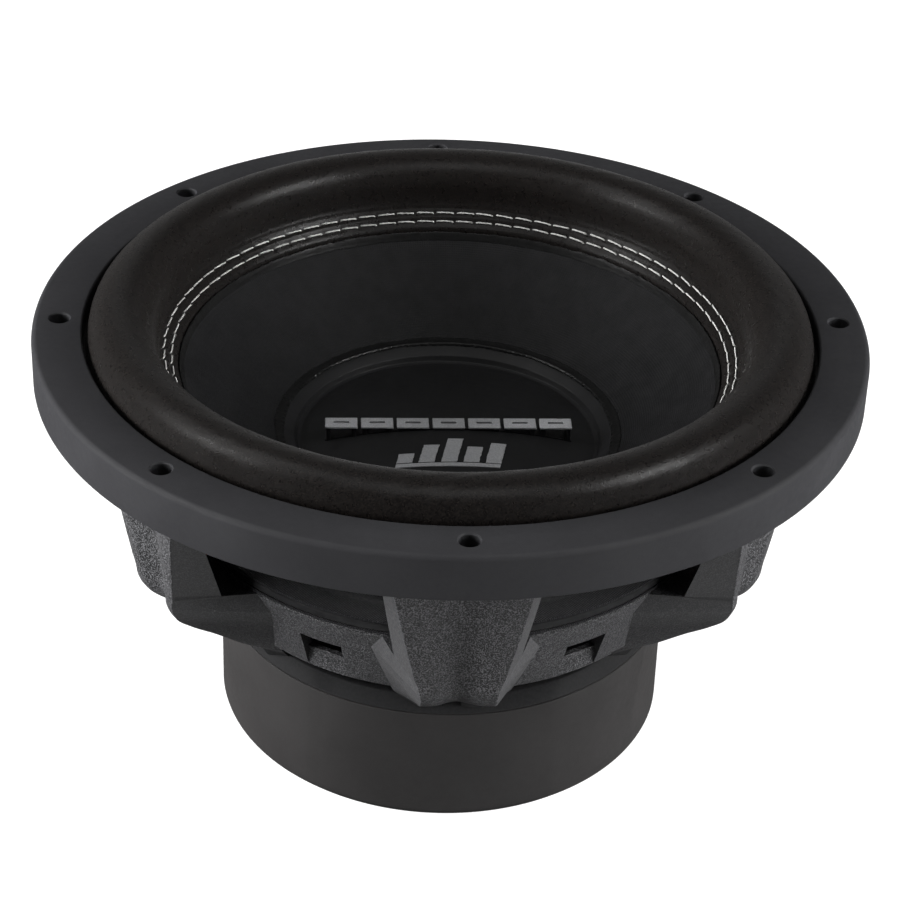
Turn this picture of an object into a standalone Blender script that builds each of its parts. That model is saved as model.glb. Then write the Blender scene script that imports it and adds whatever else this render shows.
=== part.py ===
"""Twelve-inch car subwoofer speaker, modelled as an assembly of separate pieces.

The origin is the middle of the underside of the magnet boot, +Z points out of the cone
and -Y is the front. Lengths below are millimetres and become metres as they are used.
"""

import math

import bmesh
import bpy
from mathutils import Matrix, Vector

MM = 0.001

# Driving dimensions, in millimetres.
FRAME_R = 160.0             # outer radius of the bezel
HEIGHT_TO_BEZEL_TOP = 173.3
BEZEL_DEPTH = 18.1
BEZEL_INNER_R = 140.8
BEZEL_WALL = 2.7
CUTOUT_R = 141.0            # what has to pass through the hole in the enclosure
SCREW_CIRCLE_R = 149.75
SCREW_HOLE_R = 3.9
SCREW_HOLES = 8
LEGS = 6

ROLL_R = 126.5              # middle of the surround's half roll
ROLL_A = 12.3               # radius of the roll's outer skin
ROLL_THICK = 2.6
ROLL_BASE_Z = 171.0
STITCH_R = (110.3, 107.5)   # the two rows of stitching

BAND_TOP = (104.8, 97.7)    # radius and height of the spider band's upper corner
BAND_BOTTOM = (93.8, 66.5)
VENT_HALF = 8.75

BOOT_R = 89.7
BOOT_TOP = 51.5
PLATE_R = 86.1              # top plate, magnets and back plate
TOP_PLATE_Z = (41.7, 51.7)
BACK_PLATE_Z = (2.8, 12.5)
POLE_R = 36.5
VENT_R = 14.0

FORMER_R = 38.1             # inner radius of the former
FORMER_WALL = 0.5
FORMER_Z = (30.7, 104.6)
COIL_HEIGHT = 30.0
WINDING_WALL = 0.6
GAP = 0.3                   # clearance between pieces that touch

BUTTON_TRAVEL = 3.0
BUTTON_X = 115.0
BUTTON_Y = 9.0
BLOCK_X = (106.3, 122.0)
BLOCK_Z = (71.0, 93.0)
BLOCK_HALF = 21.0
BLOCK_SCREW_Y = 17.6
BLOCK_SCREW_Z = 79.0

FINE = 36                   # facets round the visible turned pieces
COARSE = 30                 # facets round the motor, coil and spiders

# Slope of the surround's foot, and the height of its upper face at the glue line.
FOOT_INNER = (105.0, 157.58)
FOOT_SLOPE = 0.929
FOOT_THICK = 1.93

# Upper face of the cone, neck to rim.
CONE_TOP = ((39.2, 103.6), (58.0, 117.6), (65.2, 124.0), (105.0, 155.2), (112.3, 161.98))
CONE_THICK = 1.5

# Dome of the dust cap.
DOME_R = 57.6
DOME_TOP = 127.9
DOME_SPHERE = 217.0
CAP_THICK = 0.9


def clear_scene():
    for item in list(bpy.data.objects):
        bpy.data.objects.remove(item, do_unlink=True)


def new_collection(name):
    collection = bpy.data.collections.new(name)
    bpy.context.scene.collection.children.link(collection)
    return collection


clear_scene()
PARTS = new_collection("car_subwoofer_speaker")
CUTTERS = new_collection("cutters")


# ---------------------------------------------------------------- materials

def material(name, colour, roughness, metallic=0.0):
    result = bpy.data.materials.new(name)
    result.use_nodes = True
    shader = result.node_tree.nodes["Principled BSDF"]
    shader.inputs["Base Color"].default_value = (*colour, 1.0)
    shader.inputs["Roughness"].default_value = roughness
    shader.inputs["Metallic"].default_value = metallic
    return result


POWDER_COAT = material("powder_coat", (0.035, 0.035, 0.037), 0.6)
BEZEL_RUBBER = material("bezel_rubber", (0.045, 0.045, 0.048), 0.7)
BOOT_RUBBER = material("boot_rubber", (0.045, 0.044, 0.045), 0.65)
FOAM = material("foam", (0.040, 0.037, 0.036), 0.6)
PULP = material("pulp", (0.015, 0.015, 0.016), 0.55)
CAP_COATING = material("cap_coating", (0.016, 0.016, 0.017), 0.6)
GLUE = material("black_glue", (0.010, 0.010, 0.010), 0.2)
THREAD = material("thread", (0.75, 0.75, 0.74), 0.8)
SILVER = material("silver_paint", (0.45, 0.46, 0.47), 0.4, 0.3)
STEEL = material("plated_steel", (0.42, 0.42, 0.43), 0.35, 1.0)
FERRITE = material("ferrite", (0.05, 0.05, 0.052), 0.75)
ALUMINIUM = material("aluminium", (0.70, 0.70, 0.71), 0.3, 1.0)
COPPER = material("copper", (0.72, 0.38, 0.24), 0.35, 1.0)
CLOTH = material("spider_cloth", (0.03, 0.03, 0.032), 0.85)
BLACK_PLASTIC = material("black_plastic", (0.02, 0.02, 0.02), 0.5)
RED_PLASTIC = material("red_plastic", (0.50, 0.02, 0.02), 0.4)
BRASS = material("brass", (0.75, 0.58, 0.28), 0.35, 1.0)


# ---------------------------------------------------------------- helpers

def metres(*lengths):
    return tuple(length * MM for length in lengths)


def object_from_bmesh(name, mesh_data, collection):
    mesh = bpy.data.meshes.new(name)
    mesh_data.to_mesh(mesh)
    mesh_data.free()
    result = bpy.data.objects.new(name, mesh)
    collection.objects.link(result)
    return result


def finish_part(part, look):
    """Give a piece its material and smooth its round faces."""
    part.data.materials.clear()
    part.data.materials.append(look)
    part.data.shade_smooth()
    part.data.set_sharp_from_angle(angle=math.radians(35.0))
    return part


def as_cutter(part):
    part.hide_render = True
    part.display_type = "WIRE"
    return part


def baked(part):
    """Replace a piece's mesh with what its modifiers make of it."""
    evaluated = part.evaluated_get(bpy.context.evaluated_depsgraph_get())
    mesh = bpy.data.meshes.new_from_object(evaluated)
    part.modifiers.clear()
    part.data = mesh
    return part


def turned(name, outline, facets, look=None, collection=PARTS, centre=(0.0, 0.0)):
    """Turn a closed (radius, height) outline about Z.

    The outline is put in the order that runs down its outer side, so that the faces
    point out. An outline that starts and ends on the axis is left open there.
    """
    area = 0.0
    for (r0, z0), (r1, z1) in zip(outline, outline[1:] + outline[:1]):
        area += r0 * z1 - r1 * z0
    points = list(outline) if area < 0.0 else list(reversed(outline))
    on_axis = [index for index, point in enumerate(points) if point[0] == 0.0]
    if len(on_axis) == 2:
        while not (points[0][0] == 0.0 and points[-1][0] == 0.0):
            points = points[1:] + points[:1]
    shape = bmesh.new()
    corners = [shape.verts.new(metres(r, 0.0, z)) for r, z in points]
    for first, second in zip(corners, corners[1:]):
        shape.edges.new((first, second))
    if len(on_axis) != 2:
        shape.edges.new((corners[-1], corners[0]))
    part = object_from_bmesh(name, shape, collection)
    part.location = metres(centre[0], centre[1], 0.0)
    screw = part.modifiers.new("Turn", "SCREW")
    screw.axis = "Z"
    screw.angle = 2.0 * math.pi
    screw.steps = facets
    screw.render_steps = facets
    screw.use_merge_vertices = True
    screw.merge_threshold = 1e-6
    screw.use_smooth_shade = True
    baked(part)
    if look is not None:
        finish_part(part, look)
    return part


def ring(name, inner, outer, bottom, top, facets, look=None, collection=PARTS):
    outline = [(outer, top), (outer, bottom), (inner, bottom), (inner, top)]
    return turned(name, outline, facets, look, collection)


def box(name, low, high, look=None, collection=PARTS):
    shape = bmesh.new()
    size = [high[k] - low[k] for k in range(3)]
    middle = [(high[k] + low[k]) / 2.0 for k in range(3)]
    place = Matrix.Translation(metres(*middle)) @ Matrix.Diagonal((*metres(*size), 1.0))
    bmesh.ops.create_cube(shape, size=1.0, matrix=place)
    part = object_from_bmesh(name, shape, collection)
    if look is not None:
        finish_part(part, look)
    return part


def rod(name, start, end, radius, sides, look=None, collection=PARTS, roll=0.0):
    """A plain cylinder between two points, its facets turned about its axis by roll."""
    start = Vector(metres(*start))
    end = Vector(metres(*end))
    along = end - start
    aim = along.to_track_quat("Z", "Y").to_matrix().to_4x4()
    place = Matrix.Translation((start + end) / 2.0) @ aim @ Matrix.Rotation(roll, 4, "Z")
    shape = bmesh.new()
    bmesh.ops.create_cone(
        shape, cap_ends=True, segments=sides, radius1=radius * MM, radius2=radius * MM,
        depth=along.length, matrix=place,
    )
    part = object_from_bmesh(name, shape, collection)
    if look is not None:
        finish_part(part, look)
    return part


def prism(name, outline, low, high, across, collection=CUTTERS):
    """A flat outline pulled from low to high.

    The outline's points are (x, z) when it is pulled across Y, and (y, z) across X.
    """
    shape = bmesh.new()
    ends = []
    for depth in (low, high):
        if across == "Y":
            corners = [(u, depth, z) for u, z in outline]
        else:
            corners = [(depth, u, z) for u, z in outline]
        ends.append([shape.verts.new(metres(*corner)) for corner in corners])
    near, far = ends
    shape.faces.new(near)
    shape.faces.new(far)
    count = len(outline)
    for k in range(count):
        following = (k + 1) % count
        shape.faces.new((near[k], near[following], far[following], far[k]))
    bmesh.ops.recalc_face_normals(shape, faces=shape.faces)
    return object_from_bmesh(name, shape, collection)


def combine(part, other, operation):
    step = part.modifiers.new(operation.title(), "BOOLEAN")
    step.operation = operation
    step.solver = "EXACT"
    step.object = other
    return part


def cut(part, *cutters):
    for cutter in cutters:
        combine(part, as_cutter(cutter), "DIFFERENCE")
    return part


def add(part, *pieces):
    for piece in pieces:
        combine(part, as_cutter(piece), "UNION")
    return part


def spun(part, angle):
    """Turn a piece about the speaker's axis."""
    part.matrix_world = Matrix.Rotation(angle, 4, "Z") @ part.matrix_basis
    return part


def tube(name, points, radius, resolution, look):
    """A wire along a list of points, with its ends capped, as a closed mesh."""
    curve = bpy.data.curves.new(name, "CURVE")
    curve.dimensions = "3D"
    curve.bevel_depth = radius * MM
    curve.bevel_resolution = resolution
    curve.use_fill_caps = True
    spline = curve.splines.new("POLY")
    spline.points.add(len(points) - 1)
    for target, point in zip(spline.points, points):
        target.co = (*metres(*point), 1.0)
    holder = bpy.data.objects.new(name + "_route", curve)
    PARTS.objects.link(holder)
    evaluated = holder.evaluated_get(bpy.context.evaluated_depsgraph_get())
    shape = bmesh.new()
    shape.from_mesh(bpy.data.meshes.new_from_object(evaluated))
    bmesh.ops.remove_doubles(shape, verts=shape.verts, dist=1e-6)
    bmesh.ops.recalc_face_normals(shape, faces=shape.faces)
    bpy.data.objects.remove(holder, do_unlink=True)
    return finish_part(object_from_bmesh(name, shape, PARTS), look)


def smooth_route(corners, steps):
    """Catmull-Rom points through the corners, a few for each stretch."""
    knots = [Vector(corner) for corner in corners]
    knots = [2.0 * knots[0] - knots[1]] + knots + [2.0 * knots[-1] - knots[-2]]
    route = []
    for k in range(1, len(knots) - 2):
        before, start, end, after = knots[k - 1:k + 3]
        for step in range(steps):
            t = step / steps
            route.append(0.5 * (
                2.0 * start + (end - before) * t
                + (2.0 * before - 5.0 * start + 4.0 * end - after) * t ** 2
                + (3.0 * start - before - 3.0 * end + after) * t ** 3
            ))
    route.append(knots[-2])
    return route


def leg_angle(index):
    return math.radians(-90.0 + index * 360.0 / LEGS)


def window_angle(index):
    return leg_angle(index) + math.pi / LEGS


# ---------------------------------------------------------------- basket

FLANGE_TOP = 165.5
FLANGE_R = FRAME_R - BEZEL_WALL - GAP - 0.1
BEZEL_BOTTOM = HEIGHT_TO_BEZEL_TOP - BEZEL_DEPTH
SPIGOT_BOTTOM = 150.0
SPIGOT_INNER_R = 134.0
BASE_RING = (52.0, 55.8)
MOTOR_SCREW_R = 62.0

# One leg from the flange down to the base ring. Each station holds the outer crest,
# the inner edge, the half width of crest, root and channel, and the channel's depth.
LEG_STATIONS = (
    ((138.2, 158.0), (131.0, 158.0), 28.1, 31.6, 18.8, 4.5),
    ((135.4, 143.0), (128.2, 143.0), 25.3, 29.6, 17.0, 5.0),
    ((133.6, 123.0), (121.7, 122.0), 21.4, 26.7, 14.2, 5.0),
    ((131.4, 104.0), (115.4, 103.0), 17.4, 24.0, 11.2, 5.0),
    ((130.8, 99.5), (113.8, 98.2), 16.4, 23.4, 10.6, 5.0),
    ((130.4, 96.5), (100.5, 97.2), 15.4, 27.5, 10.0, 5.0),
    ((130.0, 91.5), (96.6, 89.5), 14.2, 31.5, 9.2, 5.0),
    ((127.4, 85.8), (94.6, 82.8), 13.9, 29.3, 8.8, 5.0),
    ((122.0, 81.1), (92.6, 76.0), 13.9, 27.0, 8.4, 5.0),
    ((112.5, 74.4), (90.9, 70.0), 13.7, 25.0, 7.6, 4.5),
    ((99.5, 64.6), (87.4, 62.2), 13.4, 22.4, 6.4, 4.0),
    ((90.6, 58.6), (84.0, 57.8), 12.8, 20.5, 5.0, 3.2),
    ((88.0, 54.2), (82.5, 54.2), 11.8, 18.0, 4.4, 2.6),
)


def leg_section(station):
    """Seven corners of a leg's cross-section, from one root edge to the other."""
    (crest_r, crest_z), (root_r, root_z), crest_half, root_half, channel_half, depth = station
    inward = Vector((root_r - crest_r, 0.0, root_z - crest_z)).normalized()
    crest = Vector((crest_r, 0.0, crest_z))
    groove = crest + inward * depth
    across = Vector((0.0, 1.0, 0.0))
    root = Vector((root_r, 0.0, root_z))
    return [
        root - across * root_half,
        crest - across * crest_half,
        crest - across * channel_half,
        groove,
        crest + across * channel_half,
        crest + across * crest_half,
        root + across * root_half,
    ]


def leg_shape():
    """Loft the stations into one closed leg that points along +X."""
    shape = bmesh.new()
    rows = []
    for station in LEG_STATIONS:
        rows.append([shape.verts.new(corner * MM) for corner in leg_section(station)])
    count = len(rows[0])
    for upper, lower in zip(rows, rows[1:]):
        for k in range(count):
            following = (k + 1) % count
            shape.faces.new((upper[k], upper[following], lower[following], lower[k]))
    for end in (rows[0], rows[-1]):
        left = end[:4] + end[6:]
        shape.faces.new((left[0], left[1], left[2], left[3]))
        shape.faces.new((end[3], end[4], end[5], end[6]))
        shape.faces.new((end[0], end[3], end[6]))
    bmesh.ops.recalc_face_normals(shape, faces=shape.faces)
    leg = object_from_bmesh("leg_form", shape, CUTTERS)
    notch = box("leg_notch", (84.0, -3.6, 50.0), (96.0, 3.6, 58.6), collection=CUTTERS)
    return baked(cut(leg, notch))


VENT_OUTLINE = (
    (80.0, 75.2), (93.5, 75.2), (93.5, 60.0), (112.0, 60.0), (112.0, 84.9), (80.0, 84.9),
)


def spider_band():
    """The conical band that carries the spiders, with a vent in four of its six windows.

    The two windows that hold the terminals have no vent.
    """
    band_outline = [
        BAND_TOP, BAND_BOTTOM, (88.3, 66.5), (96.0, 89.5), (94.5, 93.5), (94.5, BAND_TOP[1]),
    ]
    band = turned("band_form", band_outline, FINE, collection=CUTTERS)
    for index in range(LEGS):
        angle = window_angle(index)
        if abs(math.sin(angle)) > 0.1:
            vent = prism("vent", VENT_OUTLINE, -VENT_HALF, VENT_HALF, "Y")
            cut(band, spun(vent, angle))
    return baked(band)


def make_basket():
    """The casting: flange, spigot, legs, spider band, base ring and terminal pads."""
    flange_outline = [
        (FLANGE_R, FLANGE_TOP), (FLANGE_R, BEZEL_BOTTOM), (CUTOUT_R, BEZEL_BOTTOM),
        (CUTOUT_R, SPIGOT_BOTTOM), (SPIGOT_INNER_R, SPIGOT_BOTTOM), (SPIGOT_INNER_R, FLANGE_TOP),
    ]
    basket = turned("basket", flange_outline, FINE)
    base_outline = [
        (85.3, 57.3), (89.4, 52.6), (89.4, BASE_RING[0]), (46.0, BASE_RING[0]),
        (46.0, BASE_RING[1]), (82.0, BASE_RING[1]), (83.2, 57.3),
    ]
    add(basket, spider_band(), turned("base_form", base_outline, FINE, collection=CUTTERS))
    for side in (-1.0, 1.0):
        low_x, high_x = sorted((side * 97.0, side * 106.0))
        add(basket, box("terminal_pad", (low_x, -20.5, 71.0), (high_x, 20.5, 93.0), collection=CUTTERS))
    leg_mesh = leg_shape()
    for index in range(LEGS):
        leg = bpy.data.objects.new("leg_%d" % index, leg_mesh.data)
        CUTTERS.objects.link(leg)
        add(basket, spun(leg, leg_angle(index)))
    bpy.data.objects.remove(leg_mesh, do_unlink=True)
    for side in (-1.0, 1.0):
        for side_y in (-BLOCK_SCREW_Y, BLOCK_SCREW_Y):
            start = (side * 101.5, side_y, BLOCK_SCREW_Z)
            end = (side * 110.0, side_y, BLOCK_SCREW_Z)
            cut(basket, rod("pad_hole", start, end, 1.7, 10, collection=CUTTERS))
    for index in range(SCREW_HOLES):
        cut(basket, screw_hole_cutter(index, 3.4))
    for index in range(LEGS):
        x = MOTOR_SCREW_R * math.cos(leg_angle(index))
        y = MOTOR_SCREW_R * math.sin(leg_angle(index))
        hole = rod("base_hole", (x, y, 50.0), (x, y, 58.0), 2.8, 8, collection=CUTTERS, roll=0.31)
        cut(basket, hole)
    return finish_part(baked(basket), POWDER_COAT)


def screw_hole_cutter(index, radius):
    angle = math.radians(-90.0) + index * 2.0 * math.pi / SCREW_HOLES
    x = SCREW_CIRCLE_R * math.cos(angle)
    y = SCREW_CIRCLE_R * math.sin(angle)
    low = (x, y, 150.0)
    high = (x, y, 180.0)
    return rod("screw_hole", low, high, radius, 10, collection=CUTTERS, roll=angle + 0.23)


def make_trim_ring():
    wall_inner = FRAME_R - BEZEL_WALL
    top = HEIGHT_TO_BEZEL_TOP
    outline = [
        (157.0, top), (159.1, top - 0.9), (FRAME_R, top - 3.0), (FRAME_R, BEZEL_BOTTOM),
        (wall_inner, BEZEL_BOTTOM), (wall_inner, FLANGE_TOP + GAP), (147.4, FLANGE_TOP + GAP),
        (147.4, 167.7), (BEZEL_INNER_R, 167.7), (BEZEL_INNER_R, top - 0.7), (141.5, top),
    ]
    trim = turned("trim_ring", outline, FINE)
    for index in range(SCREW_HOLES):
        cut(trim, screw_hole_cutter(index, SCREW_HOLE_R))
    return finish_part(baked(trim), BEZEL_RUBBER)


# ---------------------------------------------------------------- soft parts and cone

def roll_arc(radius, start, end, steps):
    points = []
    for step in range(steps + 1):
        angle = math.radians(start + (end - start) * step / steps)
        points.append((ROLL_R + radius * math.cos(angle), ROLL_BASE_Z + radius * math.sin(angle)))
    return points


def foot_height(radius):
    return FOOT_INNER[1] + (radius - FOOT_INNER[0]) * FOOT_SLOPE


def make_surround():
    seat = FLANGE_TOP + GAP
    outline = [(147.0, seat + 1.6), (139.6, seat + 1.6)]
    outline += roll_arc(ROLL_A, 0.0, 180.0, 6)
    outline += [(112.6, foot_height(112.6)), FOOT_INNER]
    outline += [(FOOT_INNER[0], FOOT_INNER[1] - FOOT_THICK), (113.2, foot_height(113.2) - FOOT_THICK)]
    outline += roll_arc(ROLL_A - ROLL_THICK, 180.0, 0.0, 6)
    outline += [(136.4, seat), (147.0, seat)]
    return turned("surround", outline, FINE, FOAM)


def cone_height(radius):
    """Height of the cone's upper face at a radius."""
    for (r0, z0), (r1, z1) in zip(CONE_TOP, CONE_TOP[1:]):
        if radius <= r1:
            return z0 + (radius - r0) * (z1 - z0) / (r1 - r0)
    return CONE_TOP[-1][1]


def make_cone():
    underside = [(r, z - CONE_THICK) for r, z in reversed(CONE_TOP)]
    return turned("cone", list(CONE_TOP) + underside, FINE, PULP)


def dome_height(radius):
    return DOME_TOP - (DOME_SPHERE - math.sqrt(DOME_SPHERE ** 2 - radius ** 2))


def make_dust_cap():
    upper = [(65.0, 125.0), (60.4, 122.1), (59.4, 120.3), (58.3, 120.0)]
    upper += [(radius, dome_height(radius)) for radius in (DOME_R, 32.0, 0.0)]
    under = [(r, z - CAP_THICK) for r, z in reversed(upper)]
    under[-1] = (65.0, 124.3)
    return turned("dust_cap", upper + under, FINE, CAP_COATING)


def make_glue():
    bead_outer = 104.7
    bead_inner = 102.2
    outline = [
        (bead_outer, foot_height(bead_outer) - 0.2), (bead_outer, cone_height(bead_outer) + 0.45),
        (bead_inner, cone_height(bead_inner) + 0.45),
    ]
    turned("surround_glue_bead", outline, FINE, GLUE)
    outline = [(67.8, cone_height(67.8) + 0.5), (65.35, cone_height(65.35) + 0.5), (65.35, 125.6)]
    turned("cap_glue_bead", outline, FINE, GLUE)
    outline = [(39.1, 104.2), (39.1, 107.2), (42.0, 106.4)]
    turned("neck_glue_collar", outline, FINE, GLUE)


def make_stitches():
    """Each row of stitching is a thin ring that lies on the surround's foot."""
    thread = 0.45
    lift = thread + 0.35
    slope = math.atan(FOOT_SLOPE)
    for name, row in zip(("stitch_row_outer", "stitch_row_inner"), STITCH_R):
        r = row - lift * math.sin(slope)
        z = foot_height(row) + lift * math.cos(slope)
        outline = [(r, z + thread), (r + thread, z), (r, z - thread), (r - thread, z)]
        turned(name, outline, FINE, THREAD)


BADGE_BLOCKS = 7
BADGE_HALF = 48.3
BADGE_GAP = 1.4
BADGE_Y = (-7.0, 0.0)
BADGE_TOP = 129.2
MARK_BARS = (8.0, 13.0, 17.0, 12.0, 15.0)
MARK_Y = -30.0
MARK_PITCH = 8.6
MARK_SPACE = 2.6
MARK_SLANT = 0.22
MARK_FOOT = 2.0
MARK_THICK = 0.3


def dome_clear(x, y):
    """Height just clear of the dome at a point."""
    return dome_height(math.hypot(x, y)) + 0.35


def make_cap_badge():
    """A bar across the dome whose flat top is split into equal blocks."""
    pitch = (2.0 * BADGE_HALF + BADGE_GAP) / BADGE_BLOCKS
    top = []
    under = []
    for index in range(BADGE_BLOCKS):
        left = -BADGE_HALF + index * pitch
        right = left + pitch - BADGE_GAP
        for x in (left, right):
            top.append((x, BADGE_TOP))
            under.append((x, dome_clear(x, BADGE_Y[1])))
        if index < BADGE_BLOCKS - 1:
            for x in (right, right + BADGE_GAP):
                top.append((x, dome_clear(x, BADGE_Y[1]) + 0.5))
    badge = prism("cap_badge", top + under[::-1], BADGE_Y[0], BADGE_Y[1], "Y", PARTS)
    finish_part(badge, SILVER)


def make_cap_mark():
    """Slanted bars of unequal length on a common foot, a thin print on the dome."""
    shape = bmesh.new()

    def row_of_corners(reach, columns):
        return [
            shape.verts.new(metres(x, MARK_Y + reach, dome_clear(x, MARK_Y + reach)))
            for x in [column + reach * MARK_SLANT for column in columns]
        ]

    columns = []
    for index in range(len(MARK_BARS)):
        left = (index - len(MARK_BARS) / 2.0) * MARK_PITCH
        columns += [left, left + MARK_PITCH - MARK_SPACE]
    front = row_of_corners(0.0, columns)
    foot = row_of_corners(MARK_FOOT, columns)
    for k in range(len(columns) - 1):
        shape.faces.new((front[k], front[k + 1], foot[k + 1], foot[k]))
    for index, reach in enumerate(MARK_BARS):
        left, right = foot[2 * index:2 * index + 2]
        far_left, far_right = row_of_corners(reach, columns[2 * index:2 * index + 2])
        shape.faces.new((left, right, far_right, far_left))
    raised = bmesh.ops.extrude_face_region(shape, geom=list(shape.faces))
    corners = [item for item in raised["geom"] if isinstance(item, bmesh.types.BMVert)]
    bmesh.ops.translate(shape, verts=corners, vec=metres(0.0, 0.0, MARK_THICK))
    bmesh.ops.recalc_face_normals(shape, faces=shape.faces)
    finish_part(object_from_bmesh("cap_mark", shape, PARTS), SILVER)


def make_spider(name, outer_bottom, inner_bottom):
    """A corrugated cloth ring, flat where it is glued at both edges."""
    thick = 0.8
    wave = 1.8
    crests = (87.0, 76.0, 65.0, 54.0)
    upper = [(104.5, outer_bottom + thick), (95.3, outer_bottom + thick)]
    for index, radius in enumerate(crests):
        share = (radius - 44.0) / (95.3 - 44.0)
        middle = inner_bottom + (outer_bottom - inner_bottom) * share + thick
        upper.append((radius, middle + wave * (1.0 if index % 2 else -1.0)))
    upper += [(44.5, inner_bottom + thick), (39.0, inner_bottom + thick)]
    under = [(r, z - thick) for r, z in reversed(upper)]
    return turned(name, upper + under, COARSE, CLOTH)


def make_suspension():
    make_spider("spider_lower", BAND_TOP[1] + GAP, 96.0)
    ring("spider_spacer_ring", 95.3, 104.5, 99.1, 102.4, COARSE, BLACK_PLASTIC)
    make_spider("spider_upper", 102.7, 100.2)


# ---------------------------------------------------------------- coil and motor

def make_coil():
    outer = FORMER_R + FORMER_WALL
    ring("coil_former", FORMER_R, outer, FORMER_Z[0], FORMER_Z[1], COARSE, ALUMINIUM)
    middle = (TOP_PLATE_Z[0] + TOP_PLATE_Z[1]) / 2.0
    low = middle - COIL_HEIGHT / 2.0
    high = middle + COIL_HEIGHT / 2.0
    inner = outer + GAP
    ring("coil_winding_inner", inner, inner + WINDING_WALL, low, high, COARSE, COPPER)
    inner += WINDING_WALL + GAP
    ring("coil_winding_outer", inner, inner + WINDING_WALL, low, high, COARSE, COPPER)


def make_motor():
    plate = ring("top_plate", 41.2, PLATE_R, TOP_PLATE_Z[0], TOP_PLATE_Z[1], COARSE)
    for index in range(LEGS):
        x = MOTOR_SCREW_R * math.cos(leg_angle(index))
        y = MOTOR_SCREW_R * math.sin(leg_angle(index))
        hole = rod("plate_hole", (x, y, 43.5), (x, y, 60.0), 2.8, 8, collection=CUTTERS, roll=0.31)
        cut(plate, hole)
        outline = [(0.0, 59.5), (4.6, 59.5), (4.6, 56.1), (2.4, 56.1), (2.4, 44.5), (0.0, 44.5)]
        turned("motor_screw_%d" % (index + 1), outline, 8, STEEL, centre=(x, y))
    finish_part(baked(plate), STEEL)

    lower_z = BACK_PLATE_Z[1] + GAP
    upper_z = TOP_PLATE_Z[0] - GAP
    joint_z = (lower_z + upper_z) / 2.0
    ring("magnet_lower", 47.0, PLATE_R, lower_z, joint_z - GAP / 2.0, COARSE, FERRITE)
    ring("magnet_upper", 47.0, PLATE_R, joint_z + GAP / 2.0, upper_z, COARSE, FERRITE)

    pole_top = TOP_PLATE_Z[1] + 0.8
    outline = [
        (PLATE_R, BACK_PLATE_Z[1]), (PLATE_R, 7.6), (82.3, BACK_PLATE_Z[0]),
        (VENT_R + 4.0, BACK_PLATE_Z[0]), (VENT_R, 9.0), (VENT_R, pole_top),
        (POLE_R - 1.5, pole_top), (POLE_R, pole_top - 1.5), (POLE_R, BACK_PLATE_Z[1]),
    ]
    turned("back_plate", outline, COARSE, STEEL)
    sleeve = POLE_R + GAP
    ring("shorting_ring", sleeve, sleeve + 0.8, 14.0, 44.0, COARSE, ALUMINIUM)
    screen_outline = [(0.0, 50.0), (VENT_R - 0.4, 50.0), (VENT_R - 0.4, 49.2), (0.0, 49.2)]
    turned("vent_screen", screen_outline, COARSE, BLACK_PLASTIC)

    outline = [
        (BOOT_R, BOOT_TOP), (BOOT_R, 7.0), (BOOT_R - 2.05, 2.05), (BOOT_R - 7.0, 0.0),
        (62.0, 0.0), (62.0, 2.4), (82.6, 2.4), (86.5, 7.4), (86.5, BOOT_TOP),
    ]
    turned("magnet_boot", outline, COARSE, BOOT_RUBBER)


# ---------------------------------------------------------------- terminals

BORE_R = 4.6
STEM_R = 4.3
WIRE_HOLE_R = 1.8
BORE_FLOOR = 77.0
STEM_BOTTOM = 85.0
CAP_UNDER = BLOCK_Z[1] + BUTTON_TRAVEL + GAP
LEAD_R = 1.0
LEAD_ROUTE = (
    (106.3, 94.5), (106.3, 101.0), (104.5, 107.3), (98.0, 110.6), (88.0, 110.6),
    (76.0, 108.6), (66.0, 109.6), (59.5, 112.2), (55.5, 112.7),
)


def side_box(name, side, low, high, look=None, collection=PARTS):
    """A box on the right-hand side, or its mirror image on the left."""
    if side > 0:
        return box(name, low, high, look, collection)
    return box(name, (-high[0], low[1], low[2]), (-low[0], high[1], high[2]), look, collection)


def make_terminal_block(side, word):
    block = side_box(
        "terminal_block_" + word, side,
        (BLOCK_X[0], -BLOCK_HALF, BLOCK_Z[0]), (BLOCK_X[1], BLOCK_HALF, BLOCK_Z[1]),
    )
    bevel = block.modifiers.new("Bevel", "BEVEL")
    bevel.width = 1.2 * MM
    bevel.segments = 1
    bevel.limit_method = "ANGLE"
    for y in (-BUTTON_Y, BUTTON_Y):
        x = side * BUTTON_X
        bore = rod("button_bore", (x, y, BORE_FLOOR), (x, y, 100.0), BORE_R, 12, collection=CUTTERS)
        wire_z = BORE_FLOOR + 10.0
        wire_hole = rod(
            "wire_hole", (side * 114.0, y, wire_z), (side * 125.0, y, wire_z), WIRE_HOLE_R, 8,
            collection=CUTTERS,
        )
        slot = side_box(
            "tab_slot", side, (107.3, y - 2.9, 74.0), (108.7, y + 2.9, 96.0), collection=CUTTERS)
        pocket = side_box(
            "tab_pocket", side, (107.5, y - 2.7, 76.0), (112.0, y + 2.7, 86.0), collection=CUTTERS)
        cut(block, bore, wire_hole, slot, pocket)
    for y in (-BLOCK_SCREW_Y, BLOCK_SCREW_Y):
        start = (side * 100.0, y, BLOCK_SCREW_Z)
        end = (side * 125.0, y, BLOCK_SCREW_Z)
        cut(block, rod("block_hole", start, end, 1.7, 10, collection=CUTTERS))
    finish_part(baked(block), BLACK_PLASTIC)


def make_contacts(side, word):
    for y, sign in ((-BUTTON_Y, "positive"), (BUTTON_Y, "negative")):
        name = "terminal_contact_%s_%s" % (word, sign)
        tab = side_box(name, side, (107.6, y - 2.4, 75.0), (108.4, y + 2.4, 99.0))
        pad = side_box("tab_pad", side, (108.0, y - 2.2, 77.0), (110.0, y + 2.2, 84.0), collection=CUTTERS)
        finish_part(baked(add(tab, pad)), BRASS)


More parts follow.
